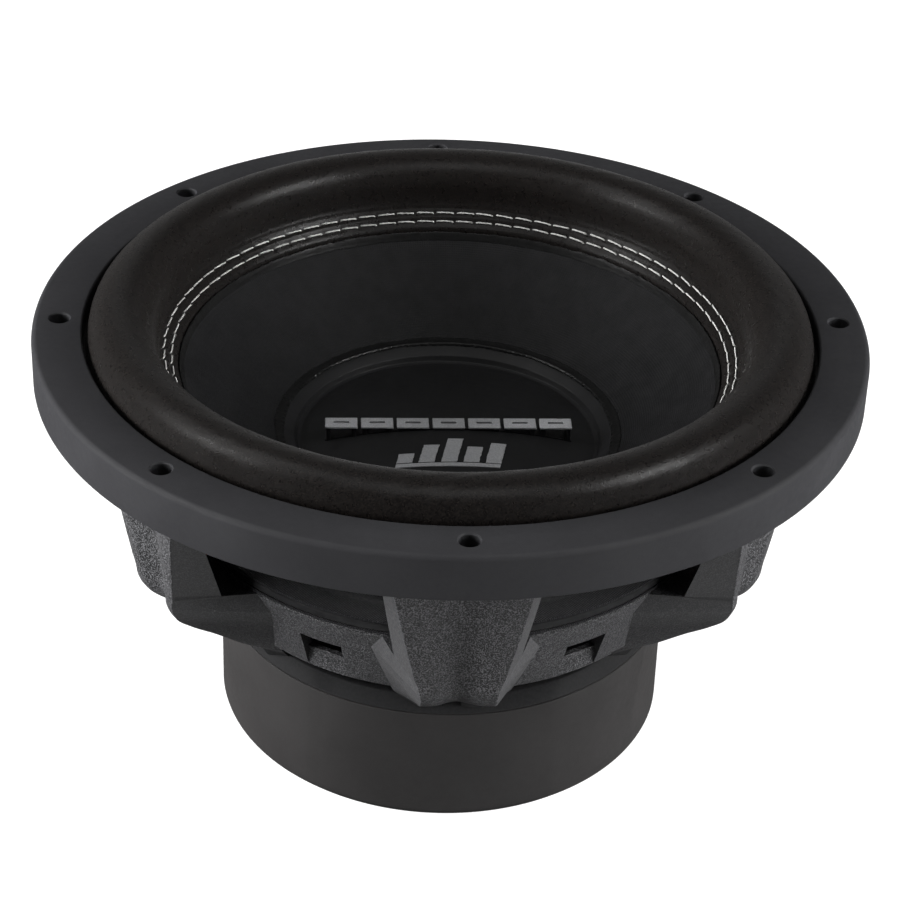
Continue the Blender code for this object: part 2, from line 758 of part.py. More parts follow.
def make_button(side, word, y, sign, look):
    x = side * BUTTON_X
    cap_top = CAP_UNDER + 3.3
    outline = [
        (0.0, cap_top), (5.0, cap_top), (5.6, cap_top - 0.6), (5.6, CAP_UNDER),
        (STEM_R, CAP_UNDER), (STEM_R, STEM_BOTTOM), (0.0, STEM_BOTTOM),
    ]
    button = turned("terminal_button_%s_%s" % (word, sign), outline, 12, centre=(x, y))
    hole_z = BORE_FLOOR + 10.0 + BUTTON_TRAVEL
    hole = rod("stem_hole", (x - 8.0, y, hole_z), (x + 8.0, y, hole_z), WIRE_HOLE_R, 8, collection=CUTTERS)
    finish_part(baked(cut(button, hole)), look)

    turns = 3.0
    per_turn = 5
    wire = 0.35
    low = BORE_FLOOR + GAP + wire
    high = STEM_BOTTOM - GAP - wire
    coil = []
    for step in range(int(turns * per_turn) + 1):
        share = step / (turns * per_turn)
        angle = 2.0 * math.pi * turns * share
        coil.append((
            x + 3.2 * math.cos(angle), y + 3.2 * math.sin(angle), low + (high - low) * share,
        ))
    tube("button_spring_%s_%s" % (word, sign), coil, wire, 1, STEEL)


def make_lead(side, word, y, sign):
    corners = [(side * x, y, z) for x, z in LEAD_ROUTE]
    tube("tinsel_lead_%s_%s" % (word, sign), smooth_route(corners, 2), LEAD_R, 1, COPPER)


def make_terminal_screw(side, name, y):
    head_x = side * (BLOCK_X[1] + GAP)
    face_x = head_x + side * 2.0
    head = rod(name, (head_x, y, BLOCK_SCREW_Z), (face_x, y, BLOCK_SCREW_Z), 3.0, 10)
    start = (side * 102.5, y, BLOCK_SCREW_Z)
    end = (head_x + side * 1.0, y, BLOCK_SCREW_Z)
    shank = rod("screw_shank", start, end, 1.35, 8, collection=CUTTERS, roll=0.2)
    finish_part(baked(add(head, shank)), STEEL)


def make_terminals():
    for side, word in ((-1.0, "left"), (1.0, "right")):
        make_terminal_block(side, word)
        make_contacts(side, word)
        for y, sign, look in ((-BUTTON_Y, "positive", RED_PLASTIC), (BUTTON_Y, "negative", BLACK_PLASTIC)):
            make_button(side, word, y, sign, look)
            make_lead(side, word, y, sign)
        for y, place in ((-BLOCK_SCREW_Y, "front"), (BLOCK_SCREW_Y, "back")):
            make_terminal_screw(side, "terminal_screw_%s_%s" % (word, place), y)


make_basket()
make_trim_ring()
make_surround()
make_cone()
make_dust_cap()
make_glue()
make_stitches()
make_cap_badge()
make_cap_mark()
make_suspension()
make_coil()
make_motor()
make_terminals()
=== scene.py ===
"""Looks of the twelve-inch car subwoofer speaker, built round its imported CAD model.

Shapes are worked out in millimetres, in the CAD's own frame: the origin is the middle of
the underside of the magnet boot, +Z points out of the cone and -Y is the front.
"""

import math

import bmesh
import bpy
import numpy as np
from mathutils import Matrix, Vector


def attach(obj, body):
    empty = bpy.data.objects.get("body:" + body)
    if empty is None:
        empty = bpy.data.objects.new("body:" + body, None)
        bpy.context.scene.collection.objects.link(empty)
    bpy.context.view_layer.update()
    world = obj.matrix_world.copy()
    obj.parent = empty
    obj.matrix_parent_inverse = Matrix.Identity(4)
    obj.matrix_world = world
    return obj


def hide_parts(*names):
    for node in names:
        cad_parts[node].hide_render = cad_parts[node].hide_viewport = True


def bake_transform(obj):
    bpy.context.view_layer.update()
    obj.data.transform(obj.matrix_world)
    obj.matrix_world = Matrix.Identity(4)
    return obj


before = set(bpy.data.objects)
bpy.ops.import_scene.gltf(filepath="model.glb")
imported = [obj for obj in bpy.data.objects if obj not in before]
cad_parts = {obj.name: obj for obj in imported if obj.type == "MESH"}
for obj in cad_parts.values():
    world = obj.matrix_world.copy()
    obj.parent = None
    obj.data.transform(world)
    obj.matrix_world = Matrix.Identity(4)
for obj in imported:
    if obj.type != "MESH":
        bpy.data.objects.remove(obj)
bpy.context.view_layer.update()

MM = 0.001
TAU = 2.0 * math.pi

FRAME_R = 160.0
BEZEL_TOP = 173.3
BEZEL_BOTTOM = 155.2
SCREW_CIRCLE_R = 149.75
SCREW_HOLES = 8
LEGS = 6

ROLL_R = 126.5
ROLL_A = 12.3
ROLL_THICK = 2.6
ROLL_BASE_Z = 171.0
STITCH_R = (110.3, 107.5)
STITCHES = 83
STITCH_SHARE = 0.885        # length of a stitch as a share of the pitch

CONE_TOP = ((39.2, 103.6), (58.0, 117.6), (65.2, 124.0), (105.0, 155.2), (112.3, 161.98))
CONE_THICK = 1.5
FOOT_SLOPE = 0.929
DOME_TOP = 127.9
DOME_SPHERE = 217.0

MOTOR_SCREW_R = 62.0
PLATE_R = 86.1
CONE = "cone_assembly"
BUTTON_X = 115.0
BUTTON_Y = 9.0
BLOCK_SCREW_Y = 17.6
BLOCK_SCREW_Z = 79.0
BUTTONS = ((-BUTTON_Y, "positive", "red_plastic"), (BUTTON_Y, "negative", "black_plastic"))


# ---------------------------------------------------------------- materials

def linear(code):
    """A #rrggbb colour as the linear values that a shader takes."""
    channels = [int(code[k:k + 2], 16) / 255.0 for k in (1, 3, 5)]
    scaled = [c / 12.92 if c <= 0.04045 else ((c + 0.055) / 1.055) ** 2.4 for c in channels]
    return (*scaled, 1.0)


class Surface:
    """A procedural material, put together a node at a time."""

    def __init__(self, name, **constants):
        self.material = bpy.data.materials.new(name)
        self.material.use_nodes = True
        self.tree = self.material.node_tree
        self.shader = self.tree.nodes["Principled BSDF"]
        for key, value in constants.items():
            self.shader.inputs[key.replace("_", " ")].default_value = value
        self.coordinates = self.tree.nodes.new("ShaderNodeTexCoord")
        self.place = self.coordinates.outputs["Object"]
        self.normal = None

    def add(self, kind, inputs, **settings):
        item = self.tree.nodes.new(kind)
        for key, value in settings.items():
            setattr(item, key, value)
        for key, value in inputs.items():
            if isinstance(value, bpy.types.NodeSocket):
                self.tree.links.new(value, item.inputs[key])
            else:
                item.inputs[key].default_value = value
        return item

    def sum(self, operation, first, second=0.0):
        item = self.add("ShaderNodeMath", {0: first, 1: second}, operation=operation)
        return item.outputs[0]

    def vector(self, operation, first, second=(0.0, 0.0, 0.0)):
        item = self.add("ShaderNodeVectorMath", {0: first, 1: second}, operation=operation)
        return item.outputs["Value" if operation == "DOT_PRODUCT" else "Vector"]

    def scaled(self, x, y, z):
        return self.vector("MULTIPLY", self.place, (x, y, z))

    def parts(self, where=None):
        return tuple(self.add("ShaderNodeSeparateXYZ", {0: where or self.place}).outputs)

    def noise(self, size, detail=2.0, rough=0.55, where=None):
        """Smooth noise with features of about size millimetres."""
        item = self.add("ShaderNodeTexNoise", {
            "Vector": where or self.place, "Scale": 1.0 / (size * MM),
            "Detail": detail, "Roughness": rough,
        })
        return item.outputs["Fac"]

    def pits(self, size, where=None):
        item = self.add(
            "ShaderNodeTexVoronoi", {"Vector": where or self.place, "Scale": 1.0 / (size * MM)})
        return item.outputs["Distance"]

    def radius(self):
        x, y, _ = self.parts()
        square = self.sum("ADD", self.sum("MULTIPLY", x, x), self.sum("MULTIPLY", y, y))
        return self.sum("SQRT", square)

    def angle(self):
        x, y, _ = self.parts()
        return self.sum("ARCTAN2", y, x)

    def turned(self):
        """Coordinates that only change with radius and height, for lathe marks."""
        inputs = {0: self.radius(), 2: self.parts()[2]}
        return self.add("ShaderNodeCombineXYZ", inputs).outputs[0]

    def wave(self, value, count):
        return self.sum("SINE", self.sum("MULTIPLY", value, count))

    def span(self, value, low, high, to_low=0.0, to_high=1.0):
        item = self.add("ShaderNodeMapRange", {
            "Value": value, "From Min": low, "From Max": high,
            "To Min": to_low, "To Max": to_high,
        })
        return item.outputs[0]

    def mix(self, share, first, second):
        """Blend two colours, each a #rrggbb code or the output of a node."""
        first, second = (linear(c) if isinstance(c, str) else c for c in (first, second))
        item = self.add("ShaderNodeMix", {0: share, 6: first, 7: second}, data_type="RGBA")
        return item.outputs[2]

    def link(self, value, name):
        self.tree.links.new(value, self.shader.inputs[name])

    def colour(self, value):
        self.link(value, "Base Color")

    def roughness(self, share, low, high):
        """Roughness from low to high, as a noise goes from 0.3 to 0.7."""
        self.link(self.span(share, 0.3, 0.7, low, high), "Roughness")

    def relief(self, height, depth, strength=1.0):
        """Bump of a given depth in millimetres, laid over any before it."""
        inputs = {"Height": height, "Distance": depth * MM, "Strength": strength}
        if self.normal is not None:
            inputs["Normal"] = self.normal
        self.normal = self.add("ShaderNodeBump", inputs).outputs["Normal"]
        self.link(self.normal, "Normal")

    def mottled(self, dark, light, size, detail=3.0, low=0.35, high=0.65):
        share = self.span(self.noise(size, detail), low, high)
        return self.mix(share, dark, light)


def powder_coat():
    """Coarse textured black powder coat, finer on the sides of the legs, with painted shade
    darkening it low down on the base ring.
    """
    look = Surface("powder_coat", Specular_IOR_Level=0.55)
    outward = look.vector("NORMALIZE", look.scaled(1.0, 1.0, 0.0))
    sideways = look.vector("CROSS_PRODUCT", outward, (0.0, 0.0, 1.0))
    facing = look.vector("DOT_PRODUCT", sideways, look.coordinates.outputs["Normal"])
    side = look.span(look.sum("ABSOLUTE", facing), 0.45, 0.75)
    up = look.parts()[2]
    # Mask for the base ring below about 60 mm: there the coat is smoother and rougher, and its
    # colour is painted darker as painted shade.
    low = look.span(up, 58.0 * MM, 62.0 * MM, 1.0, 0.0)
    even = look.sum("MAXIMUM", look.sum("MULTIPLY", side, 0.66), look.sum("MULTIPLY", low, 0.92))
    coarse = look.sum("SUBTRACT", 1.0, even)
    grain = look.noise(0.52, 1.5, 0.5)
    lumps = look.noise(1.3, 1.0)
    height = look.sum("ADD", grain, look.sum("MULTIPLY", lumps, 0.6))
    look.relief(look.sum("MULTIPLY", height, coarse), 0.3)
    crest = look.span(grain, 0.46, 0.64)
    base = look.mix(crest, "#1b1b1c", "#59595b")
    coat = look.mix(look.sum("MULTIPLY", side, 0.66), base, "#363637")
    # Painted shade: the base ring's colour is darkened here.
    look.colour(look.mix(low, coat, "#141415"))
    gloss = look.span(look.noise(1.2), 0.3, 0.7, 0.36, 0.52)
    look.link(look.sum("ADD", gloss, look.sum("MULTIPLY", low, 0.3)), "Roughness")
    return look.material


def skin(name, level, colours, broad, grain, specks, reliefs, gloss):
    """A dark skin, broadly mottled, with fine pale specks; reliefs are (size, detail, depth)."""
    look = Surface(name, Specular_IOR_Level=level)
    dark, light, pale = colours
    share = look.span(look.noise(grain, 3.0), *specks)
    look.colour(look.mix(share, look.mottled(dark, light, broad, 2.0), pale))
    for size, detail, depth in reliefs:
        look.relief(look.noise(size, detail), depth)
    look.roughness(look.noise(gloss[0]), *gloss[1:])
    return look.material


def foam():
    """The surround's skin: fine pores, a brownish black and a soft sheen."""
    look = Surface("foam", Sheen_Weight=0.03, Sheen_Roughness=0.4, Specular_IOR_Level=0.34)
    grain = look.noise(0.5, 3.0, 0.65)
    pores = look.pits(0.65)
    base = look.mix(look.span(grain, 0.44, 0.64), "#050404", "#191614")
    look.colour(look.mix(look.span(pores, 0.0, 0.3, 0.5, 0.0), base, "#0b0a0a"))
    look.relief(grain, 0.055)
    look.relief(pores, 0.03)
    look.roughness(look.noise(2.0), 0.25, 0.35)
    return look.material


def cone_paper():
    """Black pulp with a woven face, its threads on two crossing spirals; the underside is painted
    near black as painted shade.
    """
    look = Surface("cone_paper", Specular_IOR_Level=0.26)
    around = look.sum("MULTIPLY", look.angle(), 330.0)
    along = look.sum("MULTIPLY", look.radius(), 3900.0)
    first = look.sum("SINE", look.sum("ADD", around, along))
    second = look.sum("SINE", look.sum("SUBTRACT", around, along))
    weave = look.sum("MULTIPLY", first, second)
    look.relief(weave, 0.045)
    fibres = look.noise(0.9, 3.0)
    look.relief(fibres, 0.08)
    streaks = look.noise(6.0, 2.0, 0.6, look.scaled(1.0, 1.0, 0.25))
    base = look.mix(look.span(streaks, 0.35, 0.65), "#0d0d0e", "#151516")
    face = look.mix(look.span(weave, 0.2, 1.0, 0.0, 0.5), base, "#1d1d1e")
    # Painted shade: faces that point downward, the cone's underside, are darkened towards near
    # black.
    facing = look.parts(look.coordinates.outputs["Normal"])[2]
    look.colour(look.mix(look.span(facing, -0.3, 0.0, 0.85, 0.0), face, "#040404"))
    look.roughness(fibres, 0.5, 0.66)
    return look.material


def black_glue():
    look = Surface("black_glue", Specular_IOR_Level=0.35, Coat_Weight=0.12, Coat_Roughness=0.12)
    look.colour(look.mottled("#060606", "#101010", 2.5))
    look.relief(look.noise(1.1, 2.0), 0.12)
    look.roughness(look.noise(1.8), 0.28, 0.45)
    return look.material


def thread():
    look = Surface("thread", Sheen_Weight=0.35, Sheen_Roughness=0.4)
    fibres = look.noise(0.25, 3.0, 0.7)
    look.colour(look.mix(look.span(fibres, 0.3, 0.7), "#8f8f8c", "#d9d9d6"))
    look.relief(fibres, 0.08)
    look.roughness(fibres, 0.62, 0.85)
    return look.material


def silver_paint():
    look = Surface("silver_paint", Metallic=0.25)
    flakes = look.noise(0.5, 3.0, 0.7)
    look.colour(look.mix(look.span(flakes, 0.35, 0.7), "#a0a1a4", "#c4c5c7"))
    look.relief(flakes, 0.03)
    look.roughness(look.noise(2.0), 0.38, 0.52)
    return look.material


def lathed_metal(name, dark, light, low_rough, high_rough, mark=0.35, depth=0.015):
    look = Surface(name, Metallic=1.0)
    marks = look.noise(mark, 2.0, 0.6, look.turned())
    stains = look.noise(16.0, 3.0)
    base = look.mix(look.span(stains, 0.35, 0.65), dark, light)
    look.colour(look.mix(look.span(marks, 0.4, 0.75, 0.0, 0.35), base, dark))
    look.relief(marks, depth)
    look.roughness(stains, low_rough, high_rough)
    return look.material


def plain_metal(name, dark, light, low_rough, high_rough, size=1.2):
    look = Surface(name, Metallic=1.0)
    stains = look.noise(size, 3.0)
    look.colour(look.mix(look.span(stains, 0.35, 0.65), dark, light))
    look.relief(look.noise(0.3, 2.0), 0.012)
    look.roughness(stains, low_rough, high_rough)
    return look.material


def moulded(name, dark, light, low_rough, high_rough):
    look = Surface(name)
    look.colour(look.mottled(dark, light, 3.0))
    look.relief(look.noise(0.4, 3.0), 0.03)
    look.roughness(look.noise(1.5), low_rough, high_rough)
    return look.material


def ferrite():
    look = Surface("ferrite")
    look.colour(look.mottled("#28282b", "#36363a", 6.0))
    look.relief(look.noise(0.6, 4.0, 0.7), 0.08)
    look.relief(look.pits(4.0), 0.04)
    look.roughness(look.noise(2.0), 0.62, 0.8)
    return look.material


def spider_cloth():
    """Resin-stiffened cloth, woven square in plan."""
    look = Surface("spider_cloth", Sheen_Weight=0.05, Specular_IOR_Level=0.3)
    x, y, _ = look.parts()
    thread_count = TAU / (1.1 * MM)
    weave = look.sum("MULTIPLY", look.wave(x, thread_count), look.wave(y, thread_count))
    look.relief(weave, 0.12)
    look.relief(look.noise(0.4, 3.0), 0.05)
    base = look.mottled("#0e0e10", "#151517", 4.0)
    look.colour(look.mix(look.span(weave, 0.0, 1.0, 0.0, 0.5), base, "#1f1f22"))
    look.roughness(look.noise(1.5), 0.42, 0.6)
    return look.material


def tinsel_braid():
    look = Surface("tinsel_braid", Metallic=0.9)
    strands = look.noise(0.3, 3.0, 0.7)
    look.colour(look.mix(look.span(strands, 0.3, 0.7), "#8a5b41", "#d9a983"))
    look.relief(strands, 0.06)
    look.roughness(strands, 0.3, 0.5)
    return look.material


LOOKS = {
    "powder_coat": powder_coat(),
    "bezel_rubber": skin(
        "bezel_rubber", 0.35, ("#242426", "#28282a", "#313133"), 30.0, 0.5,
        (0.4, 0.75, 0.0, 0.35), ((0.45, 3.0, 0.035), (9.0, 1.0, 0.05)), (3.0, 0.52, 0.64)),
    "boot_rubber": skin(
        "boot_rubber", 0.35, ("#222121", "#272626", "#323131"), 40.0, 0.6,
        (0.45, 0.8, 0.0, 0.3), ((0.6, 3.0, 0.03), (14.0, 1.0, 0.12)), (4.0, 0.5, 0.62)),
    "foam": foam(),
    "cone_paper": cone_paper(),
    "cap_coating": skin(
        "cap_coating", 0.4, ("#151516", "#19191a", "#222223"), 18.0, 0.5,
        (0.5, 0.8, 0.0, 0.4), ((0.5, 3.0, 0.02),), (5.0, 0.46, 0.56)),
    "black_glue": black_glue(),
    "thread": thread(),
    "silver_paint": silver_paint(),
    "former_aluminium": plain_metal("former_aluminium", "#a9aaac", "#c9cacc", 0.25, 0.4, 5.0),
    "shorting_aluminium": lathed_metal("shorting_aluminium", "#9fa0a2", "#c4c5c7", 0.25, 0.4),
    "copper_wire": plain_metal("copper_wire", "#9a5230", "#c97a4d", 0.22, 0.38),
    "spider_cloth": spider_cloth(),
    "black_plastic": moulded("black_plastic", "#121213", "#1b1b1c", 0.36, 0.5),
    "red_plastic": moulded("red_plastic", "#8c0f10", "#a51516", 0.28, 0.42),
    "motor_steel": lathed_metal("motor_steel", "#6f7073", "#96979a", 0.28, 0.42),
    "ferrite": ferrite(),
    "screw_steel": plain_metal("screw_steel", "#77787c", "#a3a4a8", 0.25, 0.4),
    "spring_steel": plain_metal("spring_steel", "#8b8c90", "#b4b5b8", 0.2, 0.35),
    "brass": plain_metal("brass", "#a4823f", "#c9a65c", 0.22, 0.38, 2.5),
    "tinsel_braid": tinsel_braid(),
}


# ---------------------------------------------------------------- mesh helpers

def placed(name, data):
    """A new object in the scene for a mesh, a light or a camera."""
    item = bpy.data.objects.new(name, data)
    bpy.context.scene.collection.objects.link(item)
    return item


def soften(piece, crease):
    piece.data.shade_smooth()
    piece.data.set_sharp_from_angle(angle=math.radians(crease))


def piece_from(name, points, faces, crease=35.0):
    """An object from points in millimetres, its round faces smoothed."""
    mesh = bpy.data.meshes.new(name)
    mesh.from_pydata((np.asarray(points, float) * MM).tolist(), [], faces)
    mesh.update()
    piece = placed(name, mesh)
    soften(piece, crease)
    return piece


def merged(piece, crease=35.0, outward=False):
    """Join coincident points, and turn the faces outward if asked."""
    shape = bmesh.new()
    shape.from_mesh(piece.data)
    bmesh.ops.remove_doubles(shape, verts=shape.verts, dist=2e-7)
    if outward:
        bmesh.ops.recalc_face_normals(shape, faces=shape.faces)
    shape.to_mesh(piece.data)
    shape.free()
    soften(piece, crease)
    return piece


def rounded(corners, steps=4):
    """Round the corners of a closed outline that give a radius as their third value."""
    result = []
    count = len(corners)
    for index, corner in enumerate(corners):
        here = Vector(corner[:2])
        if len(corner) < 3:
            result.append(tuple(here))
            continue
        before = Vector(corners[index - 1][:2]) - here
        after = Vector(corners[(index + 1) % count][:2]) - here
        half = before.angle(after) / 2.0
        reach = min(corner[2] / math.tan(half), 0.49 * before.length, 0.49 * after.length)
        halfway = (before.normalized() + after.normalized()).normalized()
        middle = here + halfway * (reach / math.cos(half))
        start = here + before.normalized() * reach - middle
        end = here + after.normalized() * reach - middle
        sweep = start.angle(end)
        for step in range(steps + 1):
            t = step / steps
            first = math.sin((1.0 - t) * sweep) / math.sin(sweep)
            second = math.sin(t * sweep) / math.sin(sweep)
            result.append(tuple(middle + start * first + end * second))
    return result


def lathe(name, outline, segments, crease=35.0, warp=None):
    """Turn a closed (radius, height) outline about Z.

    warp(radius, height, angle) may move the points, and gives their radius and height.
    """
    points = np.array(outline, float)
    following = np.roll(points, -1, axis=0)
    if np.sum(points[:, 0] * following[:, 1] - following[:, 0] * points[:, 1]) > 0.0:
        points = points[::-1]
    count = len(points)
    turn = np.arange(segments) * TAU / segments
    radius = np.tile(points[:, 0], (segments, 1))
    height = np.tile(points[:, 1], (segments, 1))
    angle = np.tile(turn[:, None], (1, count))
    if warp is not None:
        radius, height = warp(radius, height, angle)
    grid = np.stack([radius * np.cos(angle), radius * np.sin(angle), height], axis=-1)
    index = np.arange(segments * count).reshape(segments, count)
    right = np.roll(index, -1, axis=0)
    below = np.roll(index, -1, axis=1)
    far = np.roll(right, -1, axis=1)
    faces = np.stack([index, below, far, right], axis=-1).reshape(-1, 4)
    piece = piece_from(name, grid.reshape(-1, 3), faces.tolist(), crease)
    if np.any(points[:, 0] == 0.0):
        merged(piece, crease)
    return piece


def loft(name, rows, crease=35.0):
    """Skin a list of equal closed sections, capped at both ends."""
    rows = np.asarray(rows, float)
    length, count = rows.shape[:2]
    index = np.arange(length * count).reshape(length, count)
    first, second = index[:-1], index[1:]
    faces = np.stack([
        first, np.roll(first, -1, axis=1), np.roll(second, -1, axis=1), second,
    ], axis=-1).reshape(-1, 4).tolist()
    faces.append(index[0].tolist()[::-1])
    faces.append(index[-1].tolist())
    return merged(piece_from(name, rows.reshape(-1, 3), faces), crease, outward=True)


def slab(name, grid, thick, crease=35.0):
    """A thin closed sheet: a grid of upper points, and the same points lower down."""
    grid = np.asarray(grid, float)
    long, wide = grid.shape[:2]
    under = grid - np.array([0.0, 0.0, thick])
    top = np.arange(long * wide).reshape(long, wide)
    low = top + long * wide
    faces = []
    for i in range(long - 1):
        for j in range(wide - 1):
            faces.append([top[i, j], top[i + 1, j], top[i + 1, j + 1], top[i, j + 1]])
            faces.append([low[i, j], low[i, j + 1], low[i + 1, j + 1], low[i + 1, j]])
    edge = [(i, 0) for i in range(long)] + [(long - 1, j) for j in range(1, wide)]
    edge += [(i, wide - 1) for i in range(long - 2, -1, -1)]
    edge += [(0, j) for j in range(wide - 2, 0, -1)]
    for start, end in zip(edge, edge[1:] + edge[:1]):
        faces.append([top[start], low[start], low[end], top[end]])
    points = np.concatenate([grid.reshape(-1, 3), under.reshape(-1, 3)])
    faces = [[int(k) for k in face] for face in faces]
    return merged(piece_from(name, points, faces), crease, outward=True)


def block(name, low, high, bevel=0.0, segments=3):
    """A box between two corners, its edges rounded."""
    shape = bmesh.new()
    size = [(b - a) * MM for a, b in zip(low, high)]
    middle = [(a + b) / 2.0 * MM for a, b in zip(low, high)]
    place = Matrix.Translation(middle) @ Matrix.Diagonal((*size, 1.0))
    bmesh.ops.create_cube(shape, size=1.0, matrix=place)
    if bevel > 0.0:
        bmesh.ops.bevel(
            shape, geom=list(shape.edges), offset=bevel * MM, segments=segments,
            profile=0.5, affect="EDGES")
    mesh = bpy.data.meshes.new(name)
    shape.to_mesh(mesh)
    shape.free()
    piece = placed(name, mesh)
    soften(piece, 35.0)
    return piece


def spindle(name, start, end, stations, sides):
    """A round bar between two points; stations are (share of the length, radius)."""
    start = Vector(start)
    along = Vector(end) - start
    aim = along.to_track_quat("Z", "Y").to_matrix()
    rows = []
    for share, radius in stations:
        rows.append([
            tuple(start + along * share + aim @ Vector((
                radius * math.cos(TAU * k / sides), radius * math.sin(TAU * k / sides), 0.0)))
            for k in range(sides)
        ])
    return loft(name, rows)


def rod(name, start, end, radius, sides=24):
    return spindle(name, start, end, ((0.0, radius), (1.0, radius)), sides)


def prism(name, outline, low, high):
    """A flat (x, z) outline pulled along Y from low to high."""
    return loft(name, [[(x, depth, z) for x, z in outline] for depth in (low, high)])


def baked(piece):
    """Replace a piece's mesh with what its modifiers make of it."""
    evaluated = piece.evaluated_get(bpy.context.evaluated_depsgraph_get())
    mesh = bpy.data.meshes.new_from_object(evaluated)
    piece.modifiers.clear()
    piece.data = mesh
    return piece


def shaped(piece, operation, tools, crease=35.0):
    """Cut or join a piece with closed tools, which are used up."""
    for tool in tools:
        step = piece.modifiers.new("Shape", "BOOLEAN")
        step.operation = operation
        step.solver = "MANIFOLD"
        step.object = tool
    baked(piece)
    for tool in tools:
        bpy.data.objects.remove(tool, do_unlink=True)
    soften(piece, crease)
    return piece


def joined(name, pieces, crease=35.0):
    """Several bodies as one object."""
    shape = bmesh.new()
    for piece in pieces:
        copy = piece.data.copy()
        copy.transform(piece.matrix_basis)
        shape.from_mesh(copy)
        bpy.data.objects.remove(piece, do_unlink=True)
    mesh = bpy.data.meshes.new(name)
    shape.to_mesh(mesh)
    shape.free()
    result = placed(name, mesh)
    soften(result, crease)
    return result


def turn_about(piece, angle):
    """Turn a piece about the speaker's axis."""
    piece.data.transform(Matrix.Rotation(angle, 4, "Z"))
    return piece


def copy_of(piece, name):
    return placed(name, piece.data.copy())


def ripple(angle, seed, lowest, highest, terms=14):
    """A seamless irregular wave round a circle, mostly between -1 and 1."""
    chance = np.random.default_rng(seed)
    total = np.zeros_like(angle)
    counts = chance.integers(lowest, highest, terms)
    for count, phase in zip(counts, chance.uniform(0.0, TAU, terms)):
        total = total + np.sin(count * angle + phase)
    return total / math.sqrt(terms)


def directions(route):
    """Unit tangents along a route."""
    tangents = np.gradient(route, axis=0)
    return tangents / np.linalg.norm(tangents, axis=1)[:, None]


def tube_rows(route, radius, sides, lobes=0, twist=0.0, lobe_depth=0.0):
    """Sections round a route; lobes make it a twisted strand."""
    route = np.asarray(route, float)
    tangents = directions(route)
    across = np.cross(tangents[0], (0.3, 0.2, 1.0))
    rows = []
    radii = np.broadcast_to(radius, (len(route),))
    travelled = 0.0
    for k, (point, tangent) in enumerate(zip(route, tangents)):
        across = across - tangent * np.dot(across, tangent)
        across = across / np.linalg.norm(across)
        other = np.cross(tangent, across)
        if k:
            travelled += np.linalg.norm(route[k] - route[k - 1])
        row = []
        for side in range(sides):
            a = TAU * side / sides
            reach = radii[k] * (1.0 + lobe_depth * math.cos(lobes * a + travelled * twist))
            row.append(point + across * math.cos(a) * reach + other * math.sin(a) * reach)
        rows.append(row)
    return rows


def smooth_route(corners, steps):
    """Catmull-Rom points through the corners."""
    knots = np.asarray(corners, float)
    knots = np.vstack([2 * knots[0] - knots[1], knots, 2 * knots[-1] - knots[-2]])
    route = []
    for k in range(1, len(knots) - 2):
        before, start, end, after = knots[k - 1:k + 3]
        for step in range(steps):
            t = step / steps
            route.append(0.5 * (
                2.0 * start + (end - before) * t
                + (2.0 * before - 5.0 * start + 4.0 * end - after) * t ** 2
                + (3.0 * start - before - 3.0 * end + after) * t ** 3))
    route.append(knots[-2])
    return np.array(route)


# ---------------------------------------------------------------- fitting to the CAD

def fit(piece, finish, *nodes, body="frame"):
    """Give a piece its finish, let it ride on a body, and let it stand for CAD nodes."""
    piece.data.materials.clear()
    piece.data.materials.append(LOOKS[finish])
    if body is not None:
        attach(piece, body)
    if nodes:
        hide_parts(*nodes)
    return piece


def stretch(piece):
    """Move a piece's placement into its mesh points."""
    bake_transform(piece)
    return piece


def leg_angle(index):
    return math.radians(-90.0 + index * 360.0 / LEGS)


def window_angle(index):
    return leg_angle(index) + math.pi / LEGS


def foot_height(radius):
    return 157.58 + (radius - 105.0) * FOOT_SLOPE


def cone_height(radius):
    """Height of the cone's upper face at a radius."""
    return float(np.interp(radius, [p[0] for p in CONE_TOP], [p[1] for p in CONE_TOP]))


def dome_height(radius):
    return DOME_TOP - (DOME_SPHERE - np.sqrt(DOME_SPHERE ** 2 - np.square(radius)))


# ---------------------------------------------------------------- basket and bezel

# A leg from the flange down to the base ring. Each station holds the crest's radius and height,
# the root's radius and height, the half widths of crest, root and channel, and the channel's depth.
LEG_STATIONS = (
    (138.2, 158.0, 131.0, 158.0, 28.1, 31.6, 18.8, 4.5),
    (135.4, 143.0, 128.2, 143.0, 25.3, 29.6, 17.0, 5.0),
    (133.6, 123.0, 121.7, 122.0, 21.4, 26.7, 14.2, 5.0),
    (131.4, 104.0, 115.4, 103.0, 17.4, 24.0, 11.2, 5.0),
    (130.8, 99.5, 113.8, 98.2, 16.4, 23.4, 10.6, 5.0),
    (130.4, 96.5, 100.5, 97.2, 15.4, 27.5, 10.0, 5.0),
    (130.0, 91.5, 96.6, 89.5, 14.2, 31.5, 9.2, 5.0),
    (127.4, 85.8, 94.6, 82.8, 13.9, 29.3, 8.8, 5.0),
    (122.0, 81.1, 92.6, 76.0, 13.9, 27.0, 8.4, 5.0),
    (112.5, 74.4, 90.9, 70.0, 13.7, 25.0, 7.6, 4.5),
    (99.5, 64.6, 87.4, 62.2, 13.4, 22.4, 6.4, 4.0),
    (90.6, 58.6, 84.0, 57.8, 12.8, 20.5, 5.0, 3.2),
    (88.0, 54.2, 82.5, 54.2, 11.8, 18.0, 4.4, 2.6),
)
ROOT_COLUMNS = (2, 3, 5)


